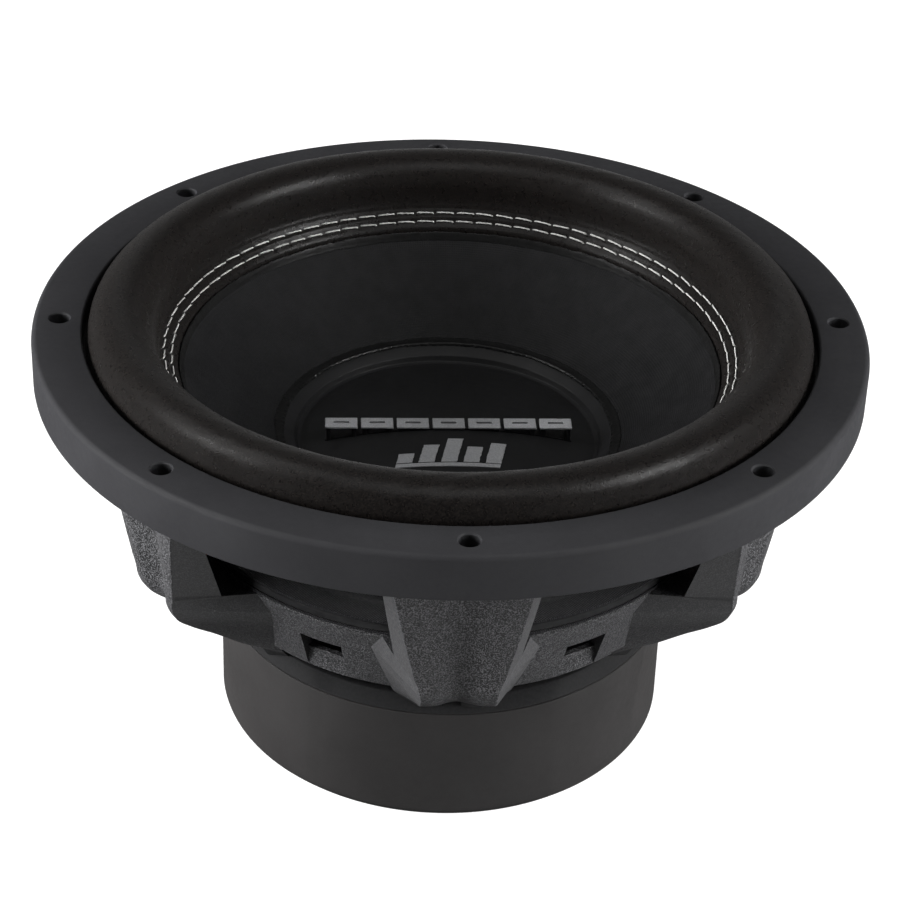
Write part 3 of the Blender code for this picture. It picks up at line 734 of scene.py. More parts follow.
def eased_stations(steps):
    """The leg's stations with others between them: smooth at the crest, straight at the root."""
    knots = np.array(LEG_STATIONS)
    travelled = np.concatenate([[0.0], np.cumsum(np.hypot(*np.diff(knots[:, :2], axis=0).T))])
    slopes = np.gradient(knots, travelled, axis=0)
    rows = []
    for k in range(len(knots) - 1):
        width = travelled[k + 1] - travelled[k]
        for step in range(steps):
            t = step / steps
            rows.append(
                knots[k] * (2 * t ** 3 - 3 * t ** 2 + 1) + knots[k + 1] * (3 * t ** 2 - 2 * t ** 3)
                + slopes[k] * width * (t ** 3 - 2 * t ** 2 + t)
                + slopes[k + 1] * width * (t ** 3 - t ** 2))
    rows.append(knots[-1])
    rows = np.array(rows)
    straight = np.linspace(0.0, len(knots) - 1.0, len(rows))
    for column in ROOT_COLUMNS:
        rows[:, column] = np.interp(straight, np.arange(len(knots)), knots[:, column])
    return rows


def leg_form():
    """One leg that points along +X, with rounded crests and a soft channel."""
    rows = []
    for station in eased_stations(8):
        crest_r, crest_z, root_r, root_z, crest_half, root_half, channel_half, depth = station
        inward = np.array([root_r - crest_r, 0.0, root_z - crest_z])
        reach = np.linalg.norm(inward)
        inward = inward / reach
        outline = rounded([
            (-root_half, reach), (-crest_half, 0.0, 1.1), (-channel_half, 0.0, 9.0),
            (0.0, depth, 7.0), (channel_half, 0.0, 9.0), (crest_half, 0.0, 1.1), (root_half, reach),
        ])
        crest = np.array([crest_r, 0.0, crest_z])
        rows.append([crest + inward * u + np.array([0.0, v, 0.0]) for v, u in outline])
    leg = loft("leg_form", rows)
    notch = block("leg_notch", (84.0, -3.6, 50.0), (96.0, 3.6, 58.6), 0.6)
    return shaped(leg, "DIFFERENCE", [notch])


def bezel_screw_places():
    for index in range(SCREW_HOLES):
        angle = math.radians(-90.0) + index * TAU / SCREW_HOLES
        yield SCREW_CIRCLE_R * math.cos(angle), SCREW_CIRCLE_R * math.sin(angle)


def motor_screw_place(index):
    angle = leg_angle(index)
    return MOTOR_SCREW_R * math.cos(angle), MOTOR_SCREW_R * math.sin(angle)


def screw_holes(radius, sides=24):
    """Cutters for the eight holes through the bezel and the flange."""
    return [
        rod("screw_hole", (x, y, 150.0), (x, y, 180.0), radius, sides)
        for x, y in bezel_screw_places()]


def make_basket():
    band = lathe("band_form", rounded([
        (104.8, 97.7, 0.9), (93.8, 66.5, 0.8), (88.3, 66.5, 0.8), (96.0, 89.5), (94.5, 93.5),
        (94.5, 97.7, 0.4),
    ]), 240)
    tools = []
    vent_outline = (
        (80.0, 75.2), (93.5, 75.2), (93.5, 60.0), (112.0, 60.0), (112.0, 84.9), (80.0, 84.9))
    for index in range(LEGS):
        angle = window_angle(index)
        if abs(math.sin(angle)) > 0.1:
            tools.append(turn_about(prism("vent", vent_outline, -8.75, 8.75), angle))
    shaped(band, "DIFFERENCE", tools)
    base = lathe("base_form", rounded([
        (85.3, 57.3, 0.9), (89.4, 52.6, 0.5), (89.4, 52.0, 0.2), (46.0, 52.0, 0.4),
        (46.0, 55.8, 0.6), (82.0, 55.8, 0.8), (83.2, 57.3, 0.5),
    ]), 240)
    basket = lathe("basket_casting", rounded([
        (156.9, 165.5, 0.5), (156.9, BEZEL_BOTTOM, 0.6), (141.0, BEZEL_BOTTOM), (141.0, 150.0, 0.8),
        (134.0, 150.0, 0.8), (134.0, 165.5, 0.5),
    ]), 256)
    tools = [band, base]
    leg = leg_form()
    for index in range(LEGS):
        tools.append(turn_about(copy_of(leg, "leg"), leg_angle(index)))
    bpy.data.objects.remove(leg, do_unlink=True)
    for side in (-1.0, 1.0):
        tools.append(side_block("pad", side, (98.0, -20.5, 71.0), (106.0, 20.5, 93.0), 0.7))
    shaped(basket, "UNION", tools)
    tools = screw_holes(3.4)
    for index in range(LEGS):
        x, y = motor_screw_place(index)
        tools.append(rod("base_hole", (x, y, 50.0), (x, y, 58.0), 2.8))
    for side in (-1.0, 1.0):
        for y in (-BLOCK_SCREW_Y, BLOCK_SCREW_Y):
            start = (side * 101.5, y, BLOCK_SCREW_Z)
            tools.append(rod("pad_hole", start, (side * 110.0, y, BLOCK_SCREW_Z), 1.7))
    shaped(basket, "DIFFERENCE", tools, 32.0)
    fit(basket, "powder_coat", "basket")


def make_bezel():
    bezel = lathe("bezel_ring", rounded([
        (FRAME_R, BEZEL_TOP, 2.2), (FRAME_R, BEZEL_BOTTOM, 0.5), (157.3, BEZEL_BOTTOM, 0.4),
        (157.3, 165.8), (147.4, 165.8), (147.4, 167.7), (140.8, 167.7, 0.4),
        (140.8, BEZEL_TOP, 0.9),
    ], 7), 288)
    tools = screw_holes(3.9, 32)
    for x, y in bezel_screw_places():
        tools.append(spindle(
            "countersink", (x, y, 172.8), (x, y, 174.0), ((0.0, 3.85), (1.0, 5.05)), 32))
    shaped(bezel, "DIFFERENCE", tools)
    fit(bezel, "bezel_rubber", "trim_ring")


# ---------------------------------------------------------------- surround and stitching

def stitch_gap(angle):
    """How far, in stitches, an angle is from the nearest gap between two stitches."""
    share = np.mod(angle * STITCHES / TAU, 1.0)
    return np.minimum(share, 1.0 - share)


def surround_warp(radius, height, angle):
    """Sink the foot under the stitches, and let the roll be slightly uneven."""
    on_foot = (radius < 113.0) & (height > foot_height(radius) - 0.6)
    near_gap = np.exp(-np.square(stitch_gap(angle) / 0.09))
    sink = np.zeros_like(radius)
    for row in STITCH_R:
        sink += np.exp(-np.square((radius - row) / 0.75)) * (0.16 + 0.30 * near_gap)
    sink -= 0.22 * np.exp(-np.square((radius - 108.9) / 0.7))
    height = height - np.where(on_foot, sink, 0.0)
    on_roll = (radius > 114.0) & (radius < 139.0) & (height > 171.0)
    sway = 0.10 * ripple(angle, 5, 3, 17) + 0.04 * ripple(angle + radius * 0.02, 6, 30, 80)
    return radius, height + np.where(on_roll, sway, 0.0)


def make_surround():
    outline = [(147.0, 165.8), (147.0, 167.2), (146.8, 167.4), (139.9, 167.4)]
    for step in range(33):
        angle = math.pi * step / 32
        outline.append((ROLL_R + ROLL_A * math.cos(angle), ROLL_BASE_Z + ROLL_A * math.sin(angle)))
    outline += [(113.85, 168.8), (113.45, 167.0), (113.05, 165.9), (112.6, 165.35), (112.2, 164.75)]
    outline += [(r, foot_height(r)) for r in np.arange(111.9, 105.4, -0.28)]
    outline += [(105.25, 157.62), (105.0, 157.3), (105.0, 155.95), (105.3, 155.93)]
    outline += [(113.2, foot_height(113.2) - 1.93)]
    inner = ROLL_A - ROLL_THICK
    for step in range(21):
        angle = math.pi - math.pi * step / 20
        outline.append((ROLL_R + inner * math.cos(angle), ROLL_BASE_Z + inner * math.sin(angle)))
    outline.append((136.4, 165.8))
    surround = lathe("surround_roll", outline, 996, 40.0, surround_warp)
    fit(surround, "foam", "surround", body=None)
    stretch(surround)


def stitch(row, index, chance):
    """One sewn stitch, a two-ply thread whose ends dive into the surround."""
    pitch = TAU / STITCHES
    middle = (index + 0.5) * pitch + chance.normal(0.0, 0.012) * pitch
    half = 0.5 * STITCH_SHARE * pitch * (1.0 + chance.normal(0.0, 0.012))
    slant = chance.normal(0.10, 0.06)
    normal = np.array([-FOOT_SLOPE, 1.0]) / math.hypot(FOOT_SLOPE, 1.0)
    route = []
    sections = 17
    for step in range(sections):
        t = 2.0 * step / (sections - 1) - 1.0
        angle = middle + t * half
        lift = 0.33 - 1.0 * abs(t) ** 9
        side = slant * t * (1.0 + abs(t) ** 4)
        r = row + side + normal[0] * lift
        z = foot_height(row + side) + normal[1] * lift
        route.append((r * math.cos(angle), r * math.sin(angle), z))
    radius = 0.30 * np.array([0.55] + [1.0] * (sections - 2) + [0.55])
    return tube_rows(route, radius, 10, 2, 2.6, 0.16)


def make_stitches():
    for seed, (name, row) in enumerate(zip(("outer", "inner"), STITCH_R)):
        chance = np.random.default_rng(40 + seed)
        sewn = [loft("stitch", stitch(row, index, chance), 60.0) for index in range(STITCHES)]
        row_piece = joined("stitching_" + name, sewn, 60.0)
        fit(row_piece, "thread", "stitch_row_" + name, body=CONE)


# ---------------------------------------------------------------- cone, cap and glue

def make_cone():
    top = []
    for r in np.concatenate([[39.2], np.linspace(42.0, 65.0, 8), np.linspace(68.0, 111.9, 18)]):
        top.append((r, cone_height(r)))
    rim = [(112.3, 161.8), (112.5, 161.3), (112.4, 160.7), (112.1, 160.35)]
    under = [(r, z - CONE_THICK) for r, z in reversed(top)]

    def warp(radius, height, angle):
        return radius, height + 0.05 * ripple(angle, 9, 2, 9) + 0.02 * ripple(angle, 10, 40, 120)

    cone = lathe("cone_body", top + rim + under, 360, 35.0, warp)
    fit(cone, "cone_paper", "cone", body=CONE)


def make_dust_cap():
    upper = rounded([
        (65.3, 125.25, 0.5), (60.4, 122.1, 1.1), (59.35, 120.2, 0.8), (57.9, 119.75, 0.9),
        (50.0, float(dome_height(50.0))), (64.9, 124.0),
    ], 5)
    upper = [p for p in upper if p[0] > 57.0][:-1]
    dome = [(r, float(dome_height(r))) for r in np.linspace(56.6, 0.0, 26)]
    under = [(r, z - 0.9) for r, z in reversed(dome)]
    under += [(58.0, 119.1), (60.0, 120.4), (61.0, 121.6), (64.9, 124.2)]
    cap = lathe("dust_cap_dome", upper + dome + under, 300)
    fit(cap, "cap_coating", "dust_cap", body=CONE)


def bead(name, arc, seed, swell, segments=900, girth=1.0):
    """A lump of glue run round the cone: arc is its section, swell how uneven it is."""
    arc = np.array(arc)
    middle = arc.mean(axis=0)

    def warp(radius, height, angle):
        size = 1.0 + swell * (
            0.5 * ripple(angle, seed, 5, 40) + 0.5 * ripple(angle, seed + 1, 60, 200)
            + 0.4 * ripple(angle + radius * 0.01, seed + 2, 200, 420))
        size = girth * np.clip(size, 0.45, 1.5)
        return middle[0] + (radius - middle[0]) * size, middle[1] + (height - middle[1]) * size

    return lathe(name, arc.tolist(), segments, 60.0, warp)


def make_glue():
    inner = bead("cap_glue", [
        (68.0, cone_height(68.0) - 0.1), (67.9, cone_height(67.9) + 0.35),
        (67.2, cone_height(67.2) + 0.85), (66.3, 125.75), (65.4, 126.0), (64.6, 125.65),
        (64.3, 125.0), (65.3, 124.2),
    ], 20, 0.16)
    fit(inner, "black_glue", "cap_glue_bead", body=CONE)
    outer = bead("surround_glue", [
        (105.2, 157.2), (104.7, 157.5), (104.0, 157.0), (103.2, cone_height(103.2) + 0.75),
        (102.4, cone_height(102.4) + 0.45), (102.0, cone_height(102.0) + 0.05),
        (102.3, cone_height(102.3) - 0.2), (105.2, cone_height(105.0) + 0.1),
    ], 30, 0.16, girth=0.62)
    fit(outer, "black_glue", "surround_glue_bead", body=CONE)
    collar = bead("neck_glue", [
        (39.0, 104.0), (38.95, 107.0), (39.6, 107.1), (40.6, 106.8), (41.7, 106.3), (42.1, 105.8),
        (40.6, 104.7),
    ], 50, 0.08, 240)
    fit(collar, "black_glue", "neck_glue_collar", body=CONE)


BADGE_BLOCKS = 7
BADGE_HALF = 48.3
BADGE_GAP = 1.4
BADGE_Y = (-7.0, 0.0)
BADGE_TOP = 129.2


def make_badge():
    """A row of silver bars that stand above the dome on dark posts."""
    pitch = (2.0 * BADGE_HALF + BADGE_GAP) / BADGE_BLOCKS
    faces = []
    posts = []
    for index in range(BADGE_BLOCKS):
        left = -BADGE_HALF + index * pitch
        right = left + pitch - BADGE_GAP
        face = block(
            "face", (left, BADGE_Y[0], BADGE_TOP - 0.9), (right, BADGE_Y[1], BADGE_TOP), 0.25)
        slot = block(
            "slot", (left + 3.2, -4.1, BADGE_TOP - 2.0), (right - 3.2, -2.7, BADGE_TOP + 1.0), 0.4)
        faces.append(shaped(face, "DIFFERENCE", [slot]))
        for low, high in ((left + 0.5, left + 2.3), (right - 2.3, right - 0.5)):
            floor = float(dome_height(max(abs(low), abs(high)) + 3.0))
            posts.append(block("post", (low, -6.6, floor), (high, -0.4, BADGE_TOP - 0.85), 0.2, 2))
    rail = []
    for x in np.linspace(-BADGE_HALF, BADGE_HALF, 60):
        rail.append([
            (x, y, dome_height(math.hypot(x, y)) + 0.55) for y in np.linspace(-6.4, -0.6, 6)])
    posts.append(slab("rail", rail, 0.6))
    fit(joined("badge_faces", faces), "silver_paint", "cap_badge", body=CONE)
    fit(joined("badge_posts", posts), "black_plastic", "cap_badge", body=CONE)


MARK_BARS = (8.0, 13.0, 17.0, 12.0, 15.0)
MARK_Y = -30.0
MARK_PITCH = 8.6
MARK_SPACE = 2.6
MARK_SLANT = 0.22
MARK_FOOT = 2.0


def make_mark():
    """Slanted bars of unequal length on a common foot, thick paint on the dome."""
    chance = np.random.default_rng(7)
    strips = []

    def strip(left, right, low, high, rough):
        reaches = np.linspace(low, high, max(3, int((high - low) / 0.7)))
        columns = max(3, int((right - left) / 1.2) + 1)
        grid = []
        for reach in reaches:
            start = left + reach * MARK_SLANT + chance.normal(0.0, rough)
            end = right + reach * MARK_SLANT + chance.normal(0.0, rough)
            y = MARK_Y + reach
            grid.append([
                (x, y, float(dome_height(math.hypot(x, y))) + 0.36)
                for x in np.linspace(start, end, columns)])
        return slab("strip", grid, 0.34)

    first = -len(MARK_BARS) / 2.0 * MARK_PITCH
    last = first + len(MARK_BARS) * MARK_PITCH - MARK_SPACE
    strips.append(strip(first, last, 0.0, MARK_FOOT, 0.05))
    for index, reach in enumerate(MARK_BARS):
        left = first + index * MARK_PITCH
        strips.append(strip(left, left + MARK_PITCH - MARK_SPACE, MARK_FOOT + 0.5, reach, 0.09))
    fit(joined("mark_bars", strips), "silver_paint", "cap_mark", body=CONE)


# ---------------------------------------------------------------- suspension and coil

def make_spider(name, outer_bottom, inner_bottom):
    """A corrugated ring of cloth, flat where it is glued at both edges."""
    thick = 0.8
    middle_z = []
    keys = [(104.5, 0.0), (95.3, 0.0)]
    keys += [(r, 1.8 * (1.0 if k % 2 else -1.0)) for k, r in enumerate((87.0, 76.0, 65.0, 54.0))]
    keys += [(44.5, 0.0), (39.0, 0.0)]
    for (r0, w0), (r1, w1) in zip(keys, keys[1:]):
        steps = 2 if w0 == w1 else 9
        for step in range(steps):
            t = step / steps
            r = r0 + (r1 - r0) * t
            wave = w0 + (w1 - w0) * (0.5 - 0.5 * math.cos(math.pi * t))
            share = min(max((r - 44.0) / (95.3 - 44.0), 0.0), 1.0)
            slope = (outer_bottom - inner_bottom) * share
            middle_z.append((r, inner_bottom + slope + wave + thick))
    middle_z.append((39.0, inner_bottom + thick))
    under = [(r, z - thick) for r, z in reversed(middle_z)]
    return lathe(name, middle_z + under, 200)


def make_suspension():
    for name, outer_bottom, inner_bottom in (("lower", 98.0, 96.0), ("upper", 102.7, 100.2)):
        spider = make_spider("spider_cloth_" + name, outer_bottom, inner_bottom)
        fit(spider, "spider_cloth", "spider_" + name, body=None)
        stretch(spider)
    spacer = lathe("spider_spacer", rounded([
        (104.5, 102.4, 0.8), (104.5, 99.1, 0.8), (95.3, 99.1, 0.4), (95.3, 102.4, 0.4),
    ]), 240)
    fit(spacer, "black_plastic", "spider_spacer_ring")


def make_winding(name, inner, outer, low, high):
    turns = 52
    outline = [(inner, low), (inner, high)]
    middle = inner + 0.25
    wire = (high - low) / turns
    for turn in range(turns):
        top = high - turn * wire
        for t in (0.08, 0.3, 0.5, 0.7, 0.92):
            bulge = math.sin(math.pi * t)
            outline.append((middle + (outer - middle) * bulge, top - wire * t))
    winding = lathe(name, outline, 96, 70.0)
    fit(winding, "copper_wire", name, body=CONE)


def make_coil():
    former = lathe("former_tube", rounded([
        (38.6, 104.6, 0.12), (38.6, 30.7, 0.12), (38.1, 30.7, 0.12), (38.1, 104.6, 0.12)], 2), 180)
    fit(former, "former_aluminium", "coil_former", body=CONE)
    make_winding("coil_winding_inner", 38.9, 39.5, 31.7, 61.7)
    make_winding("coil_winding_outer", 39.8, 40.4, 31.7, 61.7)


# ---------------------------------------------------------------- motor

def hex_socket(name, x, y, top, depth, reach):
    rows = []
    for z in (top - depth, top + 1.0):
        rows.append([
            (x + reach * math.cos(TAU * k / 6), y + reach * math.sin(TAU * k / 6), z)
            for k in range(6)])
    return loft(name, rows)


def make_motor_screw(index):
    x, y = motor_screw_place(index)
    outline = rounded([
        (0.0, 59.5), (4.6, 59.5, 0.6), (4.6, 56.1, 0.3), (2.4, 56.1), (2.4, 44.9, 0.4), (0.0, 44.5),
    ])
    screw = lathe("socket_screw_%d" % (index + 1), outline, 32)
    screw.data.transform(Matrix.Translation((x * MM, y * MM, 0.0)))
    shaped(screw, "DIFFERENCE", [hex_socket("socket", x, y, 59.5, 2.2, 2.5)])
    fit(screw, "screw_steel", "motor_screw_%d" % (index + 1))


def make_motor():
    plate = lathe("front_plate", rounded([
        (PLATE_R, 51.7, 0.6), (PLATE_R, 41.7, 0.6), (41.2, 41.7, 0.5), (41.2, 51.7, 0.5)]), 240)
    tools = []
    for index in range(LEGS):
        x, y = motor_screw_place(index)
        tools.append(rod("hole", (x, y, 43.5), (x, y, 60.0), 2.8))
        make_motor_screw(index)
    shaped(plate, "DIFFERENCE", tools)
    fit(plate, "motor_steel", "top_plate")
    for name, low, high in (("lower", 12.8, 26.95), ("upper", 27.25, 41.4)):
        magnet = lathe("ferrite_ring_" + name, rounded([
            (PLATE_R, high, 1.2), (PLATE_R, low, 1.2), (47.0, low, 1.0), (47.0, high, 1.0)]), 200)
        fit(magnet, "ferrite", "magnet_" + name)
    pole = lathe("back_plate_pole", rounded([
        (PLATE_R, 12.5, 0.4), (PLATE_R, 7.6, 0.8), (82.3, 2.8, 0.8), (18.0, 2.8, 1.0),
        (14.0, 9.0, 1.0), (14.0, 52.5, 0.6), (35.0, 52.5, 0.4), (36.5, 51.0, 0.4),
        (36.5, 12.5, 0.6),
    ]), 240)
    fit(pole, "motor_steel", "back_plate")
    sleeve = lathe("shorting_sleeve", rounded([
        (37.6, 44.0, 0.2), (37.6, 14.0, 0.2), (36.8, 14.0, 0.2), (36.8, 44.0, 0.2)], 2), 160)
    fit(sleeve, "shorting_aluminium", "shorting_ring")
    make_screen()

    def warp(radius, height, angle):
        wall = np.where((radius > 87.0) & (height > 5.0), 1.0, 0.0)
        return radius + wall * (0.10 * ripple(angle, 61, 2, 9) - 0.12), height

    boot = lathe("rubber_boot", rounded([
        (89.7, 51.5, 0.5), (89.7, 4.2, 6.0), (85.5, 0.0, 3.0), (62.0, 0.0, 1.0), (62.0, 2.4, 0.5),
        (82.6, 2.4, 1.0), (86.5, 7.4, 1.0), (86.5, 51.5, 0.4),
    ], 8), 256, 35.0, warp)
    fit(boot, "boot_rubber", "magnet_boot")


def make_screen():
    """The vent's woven screen in its rim."""
    limit = 13.2
    pitch = 1.65
    wires = []
    count = int(limit / pitch)
    for direction in (0, 1):
        for line in range(-count, count + 1):
            offset = line * pitch
            half = math.sqrt(limit ** 2 - offset ** 2)
            if half < 1.5:
                continue
            route = []
            for t in np.linspace(-half, half, max(8, int(half * 4.0))):
                sign = 1.0 if (line + direction) % 2 else -1.0
                z = 49.6 + 0.2 * sign * math.cos(math.pi * t / pitch)
                route.append((t, offset, z) if direction == 0 else (offset, t, z))
            wires.append(loft("wire", tube_rows(route, 0.19, 6)))
    rim = lathe("rim", rounded([
        (13.6, 50.0, 0.2), (13.6, 49.2, 0.2), (12.6, 49.2, 0.2), (12.6, 50.0, 0.2)], 2), 96)
    fit(joined("vent_mesh", wires + [rim], 50.0), "black_plastic", "vent_screen")


# ---------------------------------------------------------------- terminals

LEAD_ROUTE = (
    (106.3, 94.5), (106.3, 101.0), (104.5, 107.3), (98.0, 110.6), (88.0, 110.6),
    (76.0, 108.6), (66.0, 109.6), (59.5, 112.2), (55.5, 112.7),
)


def side_block(name, side, low, high, bevel=0.0, segments=3):
    if side > 0:
        return block(name, low, high, bevel, segments)
    return block(name, (-high[0], low[1], low[2]), (-low[0], high[1], high[2]), bevel, segments)


def make_terminal_block(side, word):
    body = side_block("terminal_" + word, side, (106.3, -21.0, 71.0), (122.0, 21.0, 93.0), 1.2, 4)
    tools = []
    extras = []
    for y, positive in ((-BUTTON_Y, True), (BUTTON_Y, False)):
        x = side * BUTTON_X
        tools.append(rod("bore", (x, y, 77.0), (x, y, 100.0), 4.6, 32))
        tools.append(spindle(
            "bore_edge", (x, y, 92.5), (x, y, 93.6), ((0.0, 4.55), (1.0, 5.65)), 32))
        tools.append(rod("wire_hole", (side * 114.0, y, 87.0), (side * 125.0, y, 87.0), 1.8))
        tools.append(spindle(
            "wire_edge", (side * 121.4, y, 87.0), (side * 122.6, y, 87.0),
            ((0.0, 1.75), (1.0, 2.95)), 24))
        tools.append(side_block("slot", side, (107.3, y - 2.9, 74.0), (108.7, y + 2.9, 96.0)))
        tools.append(side_block("pocket", side, (107.5, y - 2.7, 76.0), (112.0, y + 2.7, 86.0)))
        strokes = ((1.6, 0.4), (0.4, 1.6)) if positive else ((1.6, 0.4),)
        for wide, tall in strokes:
            low, high = (121.6, y - wide, 75.3 - tall), (122.3, y + wide, 75.3 + tall)
            extras.append(side_block("mark", side, low, high, 0.2, 2))
    for y in (-BLOCK_SCREW_Y, BLOCK_SCREW_Y):
        start = (side * 100.0, y, BLOCK_SCREW_Z)
        tools.append(rod("screw_hole", start, (side * 125.0, y, BLOCK_SCREW_Z), 1.7))
    for y in (-3.2, 0.0, 3.2):
        tools.append(side_block(
            "groove", side, (121.3, y - 0.5, 73.5), (123.0, y + 0.5, 90.5), 0.2, 2))
    shaped(body, "DIFFERENCE", tools)
    fit(joined("terminal_" + word, [body] + extras), "black_plastic", "terminal_block_" + word)


def make_contact(side, word, y, sign):
    tab = side_block("tab", side, (107.6, y - 2.4, 75.0), (108.4, y + 2.4, 99.0), 0.15, 2)
    hole = rod("hole", (side * 105.0, y, 97.2), (side * 111.0, y, 97.2), 0.8, 16)
    shaped(tab, "DIFFERENCE", [hole])
    pad = side_block("pad", side, (108.0, y - 2.2, 77.0), (110.0, y + 2.2, 84.0), 0.3, 2)
    shaped(tab, "UNION", [pad])
    tab.name = "contact_%s_%s" % (word, sign)
    fit(tab, "brass", "terminal_contact_%s_%s" % (word, sign))


def make_button(side, word, y, sign, finish):
    """A push button: ribbed cap, stem with a cross hole, and the spring under it."""
    x = side * BUTTON_X
    cap = lathe("push_%s_%s" % (word, sign), rounded([
        (0.0, 99.35), (3.6, 99.35, 1.0), (4.6, 99.6, 0.4), (5.3, 99.3, 0.5), (5.3, 96.3, 0.3),
        (4.3, 96.3), (4.3, 85.0, 0.4), (0.0, 85.0),
    ]), 48)
    cap.data.transform(Matrix.Translation((x * MM, y * MM, 0.0)))
    ribs = []
    for k in range(20):
        angle = TAU * k / 20
        rib_x, rib_y = x + 5.25 * math.cos(angle), y + 5.25 * math.sin(angle)
        ribs.append(spindle(
            "rib", (rib_x, rib_y, 96.5), (rib_x, rib_y, 99.0),
            ((0.0, 0.25), (0.1, 0.33), (0.85, 0.33), (1.0, 0.15)), 8))
    shaped(cap, "UNION", ribs)
    shaped(cap, "DIFFERENCE", [rod("cross_hole", (x - 8.0, y, 90.0), (x + 8.0, y, 90.0), 1.8)])
    fit(cap, finish, "terminal_button_%s_%s" % (word, sign), body="button_%s_%s" % (word, sign))
    turns = 4.0
    route = []
    for share in np.linspace(0.0, 1.0, 120):
        rise = share if 0.12 < share < 0.88 else share * 0.9 + (0.0 if share < 0.5 else 0.1)
        angle = TAU * turns * share
        route.append((
            x + 3.2 * math.cos(angle), y + 3.2 * math.sin(angle), 77.65 + 6.7 * rise))
    spring = loft("push_spring_%s_%s" % (word, sign), tube_rows(route, 0.35, 10))
    fit(spring, "spring_steel", "button_spring_%s_%s" % (word, sign), body=None)
    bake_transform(spring)


def make_lead(side, word, y, sign):
    """A tinsel lead of three twisted strands, stuck to the cone in a drop of glue."""
    route = smooth_route([(side * x, y, z) for x, z in LEAD_ROUTE], 16)
    tangents = directions(route)
    other = np.array([0.0, 1.0, 0.0])
    travelled = np.concatenate([[0.0], np.cumsum(np.linalg.norm(np.diff(route, axis=0), axis=1))])
    strands = []
    for k in range(3):
        twist = travelled * TAU / 5.5 + k * TAU / 3
        across = np.cross(tangents, other)
        offset = across * np.cos(twist)[:, None] + other * np.sin(twist)[:, None]
        path = route + offset * 0.46
        strands.append(loft("strand", tube_rows(path, 0.52, 8, 4, 3.0, 0.10)))
    lead = joined("tinsel_%s_%s" % (word, sign), strands, 60.0)
    fit(lead, "tinsel_braid", "tinsel_lead_%s_%s" % (word, sign), body=None)
    stretch(lead)
    solder = spindle(
        "solder_%s_%s" % (word, sign), (side * 106.9, y, 93.6), (side * 106.4, y, 98.0),
        ((0.0, 0.5), (0.15, 1.3), (0.45, 1.5), (0.75, 1.35), (0.95, 1.1), (1.0, 0.6)), 18)
    fit(solder, "screw_steel")
    drop = spindle(
        "lead_anchor_%s_%s" % (word, sign), (side * 60.5, y, 112.0), (side * 52.5, y, 112.4),
        ((0.0, 0.6), (0.1, 1.5), (0.3, 2.2), (0.55, 2.4), (0.8, 1.9), (0.95, 1.0), (1.0, 0.4)), 18)
    fit(drop, "black_glue", body=CONE)


def make_terminal_screw(side, word, y, place):
    """A pan-head screw with a cross recess."""
    start = (side * 102.5, y, BLOCK_SCREW_Z)
    end = (side * 124.3, y, BLOCK_SCREW_Z)
    length = 21.8
    head = (length - 2.0) / length
    screw = spindle("pan_screw_%s_%s" % (word, place), start, end, (
        (0.0, 0.5), (0.05, 1.35), (head, 1.35), (head + 0.001, 2.9), (head + 0.03, 3.0),
        (head + 0.05, 2.85), (head + 0.075, 2.3), (1.0, 1.1)), 32)
    tools = []
    for half_y, half_z in ((1.6, 0.32), (0.32, 1.6)):
        tools.append(side_block(
            "recess", side, (123.2, y - half_y, BLOCK_SCREW_Z - half_z),
            (125.0, y + half_y, BLOCK_SCREW_Z + half_z)))
    shaped(screw, "DIFFERENCE", tools)
    fit(screw, "screw_steel", "terminal_screw_%s_%s" % (word, place))


def make_terminals():
    for side, word in ((-1.0, "left"), (1.0, "right")):
        make_terminal_block(side, word)
        for y, sign, finish in BUTTONS:
            make_contact(side, word, y, sign)
            make_button(side, word, y, sign, finish)
            make_lead(side, word, y, sign)
        for y, place in ((-BLOCK_SCREW_Y, "front"), (BLOCK_SCREW_Y, "back")):
            make_terminal_screw(side, word, y, place)


# ---------------------------------------------------------------- room, light and camera

FLOOR_GLOW = 0.95
FLOOR_HALF = 9.0
FLOOR_GAP = 0.0002
BACKDROP_R = 8800.0         # millimetres, as are all radii that lathe takes

# name, place, size, power, and whether it shows in reflections
LIGHTS = (
    ("left_softbox", (-1.65, 0.0, 0.45), (1.7, 0.75), 90.0, False),
    ("left_sheen", (-1.65, 0.0, 0.45), (1.7, 0.75), 38.0, True),
    ("right_softbox", (1.6, -0.4, 0.45), (1.8, 0.75), 52.0, False),
    ("right_sheen", (1.6, -0.4, 0.45), (1.8, 0.75), 42.0, True),
    ("bounce", (0.0, -0.75, -0.95), (1.6, 0.8), 1.8, True),
    ("right_glint", (1.06, -0.30, 1.29), (0.3, 0.3), 5.0, True),
    ("left_glint", (-1.15, 0.0, 1.2), (0.4, 0.3), 2.5, True),
    ("overhead", (0.0, -0.35, 1.7), (0.9, 0.7), 1.8, True),
    ("top_left", (-0.8, 0.3, 1.5), (0.6, 0.6), 1.6, True),
)
LIGHT_TARGET = (0.0, 0.0, 0.12)
SKY = 0.07


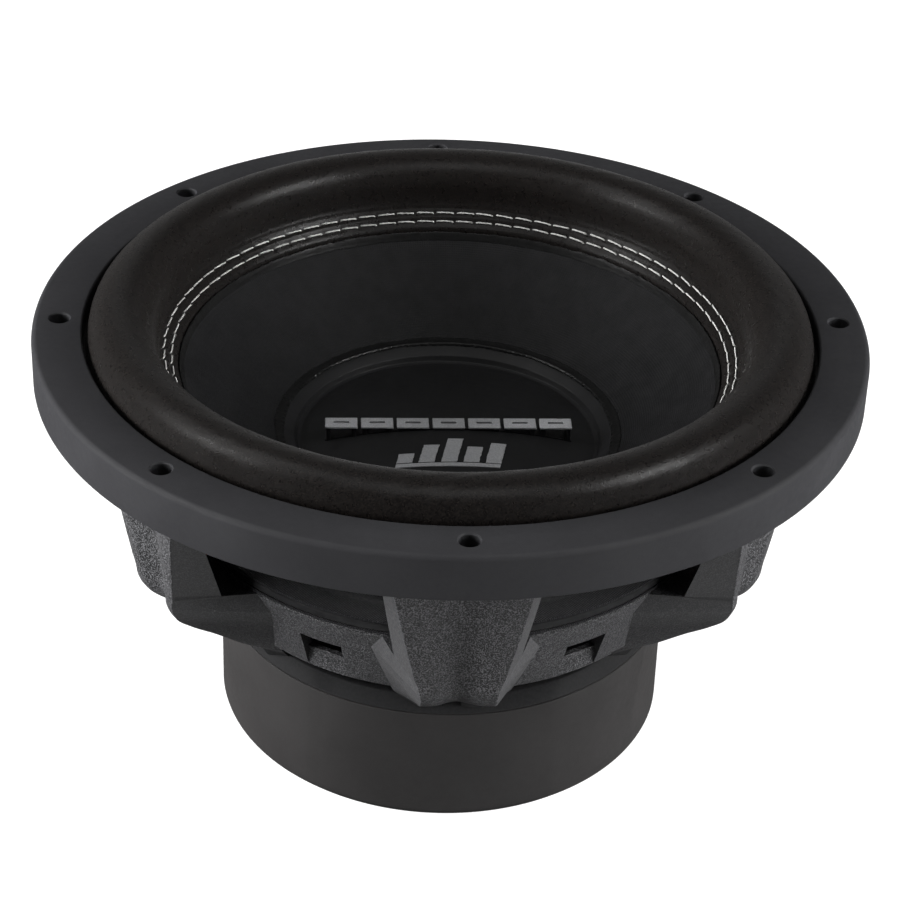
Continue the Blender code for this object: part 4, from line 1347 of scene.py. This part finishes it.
def make_floor():
    mesh = bpy.data.meshes.new("floor")
    signs = ((-1, -1), (1, -1), (1, 1), (-1, 1))
    corners = [(x * FLOOR_HALF, y * FLOOR_HALF, 0.0) for x, y in signs]
    mesh.from_pydata(corners, [], [(0, 1, 2, 3)])
    floor = placed("floor", mesh)
    floor.location.z = -FLOOR_GAP
    look = Surface("floor", Specular_IOR_Level=0.1, Roughness=0.9, Emission_Strength=FLOOR_GLOW)
    look.shader.inputs["Emission Color"].default_value = (1.0, 1.0, 1.0, 1.0)
    look.colour(look.mottled("#7d7d7d", "#838383", 300.0))
    floor.data.materials.append(look.material)
    wall = lathe("backdrop", [
        (BACKDROP_R, -10.0), (BACKDROP_R, 7000.0), (BACKDROP_R + 100.0, 7000.0),
        (BACKDROP_R + 100.0, -10.0),
    ], 96)
    wall.data.materials.append(look.material)
    for item in (floor, wall):
        item.visible_diffuse = False
        item.visible_glossy = False
        item.visible_shadow = False


def make_light(name, place, size, power, glossy):
    data = bpy.data.lights.new(name, "AREA")
    data.shape = "RECTANGLE"
    data.size = size[0]
    data.size_y = size[1]
    data.energy = power
    light = placed(name, data)
    light.location = place
    aim = Vector(LIGHT_TARGET) - Vector(place)
    light.rotation_euler = aim.to_track_quat("-Z", "Y").to_euler()
    light.visible_glossy = glossy


def make_room():
    world = bpy.data.worlds.new("studio")
    world.use_nodes = True
    sky = world.node_tree.nodes["Background"]
    sky.inputs["Color"].default_value = (1.0, 1.0, 1.0, 1.0)
    sky.inputs["Strength"].default_value = SKY
    bpy.context.scene.world = world
    for light in LIGHTS:
        make_light(*light)
    bpy.context.scene.view_settings.view_transform = "Standard"


def make_camera():
    """The photograph's view: 29.6 degrees above the horizon, turned 3.3 degrees."""
    elevation = math.radians(29.59)
    swing = math.radians(3.304)
    roll = math.radians(2.0294)
    distance = 1.0426
    drift = 0.001138        # how far right of the axis, in metres, the camera aims
    level = distance * math.cos(elevation)
    place = Vector((
        -level * math.sin(swing), -level * math.cos(swing),
        distance * math.sin(elevation) + BEZEL_TOP * MM))
    target = Vector((drift * math.cos(swing), -drift * math.sin(swing), 0.114352))
    forward = (target - place).normalized()
    right = forward.cross(Vector((0.0, 0.0, 1.0))).normalized()
    up = right.cross(forward)
    across = right * math.cos(roll) + up * math.sin(roll)
    upward = up * math.cos(roll) - right * math.sin(roll)
    data = bpy.data.cameras.new("camera")
    data.lens = 108.471
    data.sensor_width = 36.0
    camera = placed("camera", data)
    axes = Matrix((across, upward, -forward)).transposed()
    camera.matrix_world = Matrix.Translation(place) @ axes.to_4x4()
    bpy.context.scene.camera = camera


make_basket()
make_bezel()
make_surround()
make_stitches()
make_cone()
make_dust_cap()
make_glue()
make_badge()
make_mark()
make_suspension()
make_coil()
make_motor()
make_terminals()
make_floor()
make_room()
make_camera()
